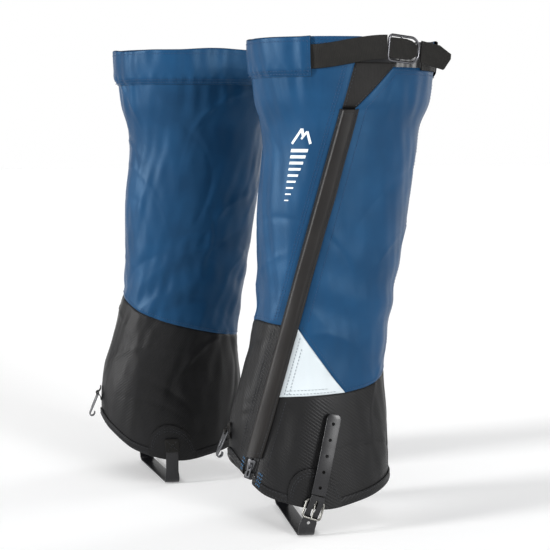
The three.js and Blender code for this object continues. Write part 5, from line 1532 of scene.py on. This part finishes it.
def pin_buckle():
    outline = [(x, y, 0) for x, y in rounded(PIN_WIDTH / 2, -PIN_REACH, 0, 2.6, 7)]
    dense = []
    for k, point in enumerate(outline):
        nxt = np.array(outline[(k + 1) % len(outline)])
        gap = np.linalg.norm(nxt - np.array(point))
        for t in np.linspace(0, 1, max(int(gap / 1.6), 1), endpoint=False):
            dense.append(part_way(np.array(point), nxt, t))
    points, faces = tube_data(dense, PIN_WIRE, closed=True, sides=16)
    piece = mesh_piece("pin_buckle", buckle_place(tilted(points)), faces, plated_steel)
    fit(piece, "pin_buckle_body", "bright_steel", "pin_buckle")

    eye = PIN_WIRE + 0.3 + PRONG
    path = [(0, -eye * math.cos(a), eye * math.sin(a)) for a in np.radians(np.linspace(330, 0, 26))]
    path += [(0, y, part_way(0, 2.3, (-y - eye) / (17.3 - eye))) for y in np.linspace(-3.2, -17.3, 10)]
    radii = np.concatenate([np.full(26, PRONG * 0.92), np.linspace(PRONG, PRONG * 0.72, 10)])
    points, faces = tube_data(path, radii, sides=12)
    piece = mesh_piece("buckle_prong", buckle_place(tilted(points)), faces, plated_steel)
    fit(piece, "prong_body", "bright_steel", "buckle_prong")

    # the tab that holds the heel bar: webbing folded round it, with a slit for the prong
    loop = PIN_WIRE + 0.35 + 0.6
    back = TAB_LIFT - HEEL_BAR_LIFT + 0.6
    line = [(0, 29.6, back), (0, 18, back), (0, 8, back)]
    line += [(0, -loop * math.sin(a), -loop * math.cos(a)) for a in np.radians(np.linspace(-15, 195, 15))]
    line += [(0, 6.5, back + 2.0), (0, 11, back + 1.35), (0, 17, back + 1.3)]
    line = smooth_path(line, 60)
    slopes = unit(np.gradient(line, axis=0))
    outs = [unit(np.cross(buckle_place.x, s[1] * buckle_place.y + s[2] * buckle_place.z)) for s in slopes]
    halves = np.full(len(line), 5.4)
    piece = ribbon(
        "buckle_tab",
        buckle_place(line),
        [buckle_place.x] * len(line),
        outs,
        halves,
        1.15,
        ribbed_webbing,
        0.45,
    )
    points = hole_tool(buckle_place, 0, 0.2, 1.75, 4.3)
    fit(punched(piece, [points]), "shell", "webbing", "buckle_tab")


hook_out = unit(outward_at(0.0, 92.0) * np.array([1, 1, 0]))
hook_place = Place(lifted(0.0, 92.0, 4.4), np.cross((0, 0, 1), hook_out), hook_out)
HOOK_TILT = math.radians(23)


def lace_hook():
    half, low, high = 5.8, -24.6, 1.1
    outline = [
        (-half, high - 1.2),
        (-half + 1.2, high),
        (half - 1.2, high),
        (half, high - 1.2),
        (half, -14),
        (3.6, low + 1.5),
        (2.4, low),
        (-2.4, low),
        (-3.6, low + 1.5),
        (-half, -14),
    ]
    loop_slot = [(-4.1, -1.1), (4.1, -1.1), (4.1, -4.1), (-4.1, -4.1)]
    window = rounded(1.7, -17, -8.5, 1.0, 4)
    plate = plate_data([outline, loop_slot, window], 1.2, 0.3)
    curl = smooth_path(
        [
            (0, low + 0.8, -0.1),
            (0, low - 1.0, -0.8),
            (0, low - 1.5, -2.6),
            (0, low - 0.2, -4.3),
            (0, low + 2.0, -4.9),
            (0, low + 4.0, -4.3),
        ],
        24,
    )
    outs = np.cross(unit(np.gradient(curl, axis=0)), np.array([1.0, 0, 0]))
    rings = []
    for point, out in zip(curl, outs):
        outline = section(2.6, 0.6, 0.35)
        rings.append(point + outline[:, :1] * np.array([1.0, 0, 0]) + outline[:, 1:] * out)
    columns = len(rings[0])
    faces = grid_faces(len(rings), columns, wrap_columns=True)
    faces += [list(range(columns)), [(len(rings) - 1) * columns + k for k in range(columns)][::-1]]
    points, faces = joined([plate, (np.concatenate(rings), faces)])
    y, z = points[:, 1].copy(), points[:, 2].copy()
    points[:, 1] = y * math.cos(HOOK_TILT) + z * math.sin(HOOK_TILT)
    points[:, 2] = -y * math.sin(HOOK_TILT) + z * math.cos(HOOK_TILT)
    piece = mesh_piece("lace_hook", hook_place(points), faces, dull_steel, sharp=35)
    fit(piece, "lace_hook_body", "dark_steel", "lace_hook")

    ring = 2.1
    line = [(0, 7.8, -2.9), (0, 4.5, -2.5)]
    line += [(0, ring * math.cos(a), ring * math.sin(a)) for a in np.radians(np.linspace(-20, 200, 14))]
    line += [(0, -4.5, -2.5), (0, -7.8, -2.9)]
    line = smooth_path(line, 44)
    slopes = unit(np.gradient(line, axis=0))
    outs = [unit(np.cross(s[1] * hook_place.y + s[2] * hook_place.z, hook_place.x)) for s in slopes]
    piece = ribbon(
        "hook_loop", hook_place(line), [hook_place.x] * 44, outs, np.full(44, 3.4), 0.8, ribbed_webbing, 0.3
    )
    fit(piece, "shell", "webbing", "hook_loop")


# ---- the pair ----
for side, seed in (("left", 11), ("right", 29)):
    hang = Hang(seed)
    made = panels()
    casing()
    webbing()
    top_buckle()
    zip_sides()
    zip_slider()
    storm_flap()
    hem_pieces()
    body_stitching()
    printed_mark()
    instep_strap()
    pin_buckle()
    lace_hook()

# ---- camera, light and floor ----
LOOK_ROUND, LOOK_DOWN = math.radians(15), math.radians(5.9)
SENSOR = 36
LENS = SENSOR * 1354 / 550
DISTANCE, EYE_HEIGHT = 1300, 374
EYE_LEFT = 45 * DISTANCE / 1354
leg = Vector((STEP_LENGTH / 2, -STANCE_WIDTH / 2, EYE_HEIGHT))
ahead = Vector((math.sin(LOOK_ROUND), math.cos(LOOK_ROUND), 0))
rightward = Vector((math.cos(LOOK_ROUND), -math.sin(LOOK_ROUND), 0))
camera = bpy.data.objects.new("camera", bpy.data.cameras.new("camera"))
bpy.context.scene.collection.objects.link(camera)
camera.location = (leg - ahead * DISTANCE - rightward * EYE_LEFT) / 1000
camera.rotation_euler = (math.pi / 2 - LOOK_DOWN, 0, -LOOK_ROUND)
camera.data.sensor_width = SENSOR
camera.data.lens = LENS
camera.data.clip_end = 50
bpy.context.scene.camera = camera

FLOOR_REACH, FLOOR_DROP = 14, 0.0005
corners = [(x * FLOOR_REACH, y * FLOOR_REACH, -FLOOR_DROP) for x, y in ((-1, -1), (1, -1), (1, 1), (-1, 1))]
floor_mesh = bpy.data.meshes.new("floor")
floor_mesh.from_pydata(corners, [], [(0, 1, 2, 3)])
floor = bpy.data.objects.new("floor", floor_mesh)
# Pale paper, matt: it glows a little, so that the ground round the gaiters stays even.
paper = finish(
    "pale_paper",
    Base_Color=linear("#e8e8e8"),
    Roughness=0.95,
    Emission_Color=(1, 1, 1, 1),
    Emission_Strength=0.24,
)[0]
floor_mesh.materials.append(paper)
bpy.context.scene.collection.objects.link(floor)

# a pale band of light round the horizon, and a dimmer ceiling
world = bpy.data.worlds.new("studio")
bpy.context.scene.world = world
world.use_nodes = True
sky = world.node_tree
towards = node(sky, "ShaderNodeTexCoord").outputs["Generated"]
up_part = node(sky, "ShaderNodeSeparateXYZ", {0: towards}).outputs[2]
band = node(
    sky, "ShaderNodeMapRange", {0: up_part, 1: 0.12, 2: 0.3, 3: 1.0, 4: 0.14}, interpolation_type="SMOOTHSTEP"
)
sky.links.new(band.outputs[0], sky.nodes["Background"].inputs[1])
sky.nodes["Background"].inputs[0].default_value = (1, 1, 1, 1)


def soft_sun(name, towards_x, towards_y, elevation, spread, power):
    """A wide, distant light; the first two numbers say from which side it comes."""
    light = bpy.data.lights.new(name, "SUN")
    light.angle = math.radians(spread)
    light.energy = power
    lamp = bpy.data.objects.new(name, light)
    rise = math.tan(math.radians(elevation)) * math.hypot(towards_x, towards_y)
    lamp.rotation_euler = Vector((-towards_x, -towards_y, -rise)).to_track_quat("-Z", "Y").to_euler()
    bpy.context.scene.collection.objects.link(lamp)


soft_sun("key", 0.34, -0.94, 13, 14, 1.9)
soft_sun("toe_side", -0.98, -0.14, 16, 12, 3.0)
soft_sun("heel_side", 0.9, 0.35, 20, 24, 0.8)
soft_sun("ceiling", -0.1, -0.2, 74, 60, 1.0)
bpy.context.scene.view_settings.view_transform = "Standard"
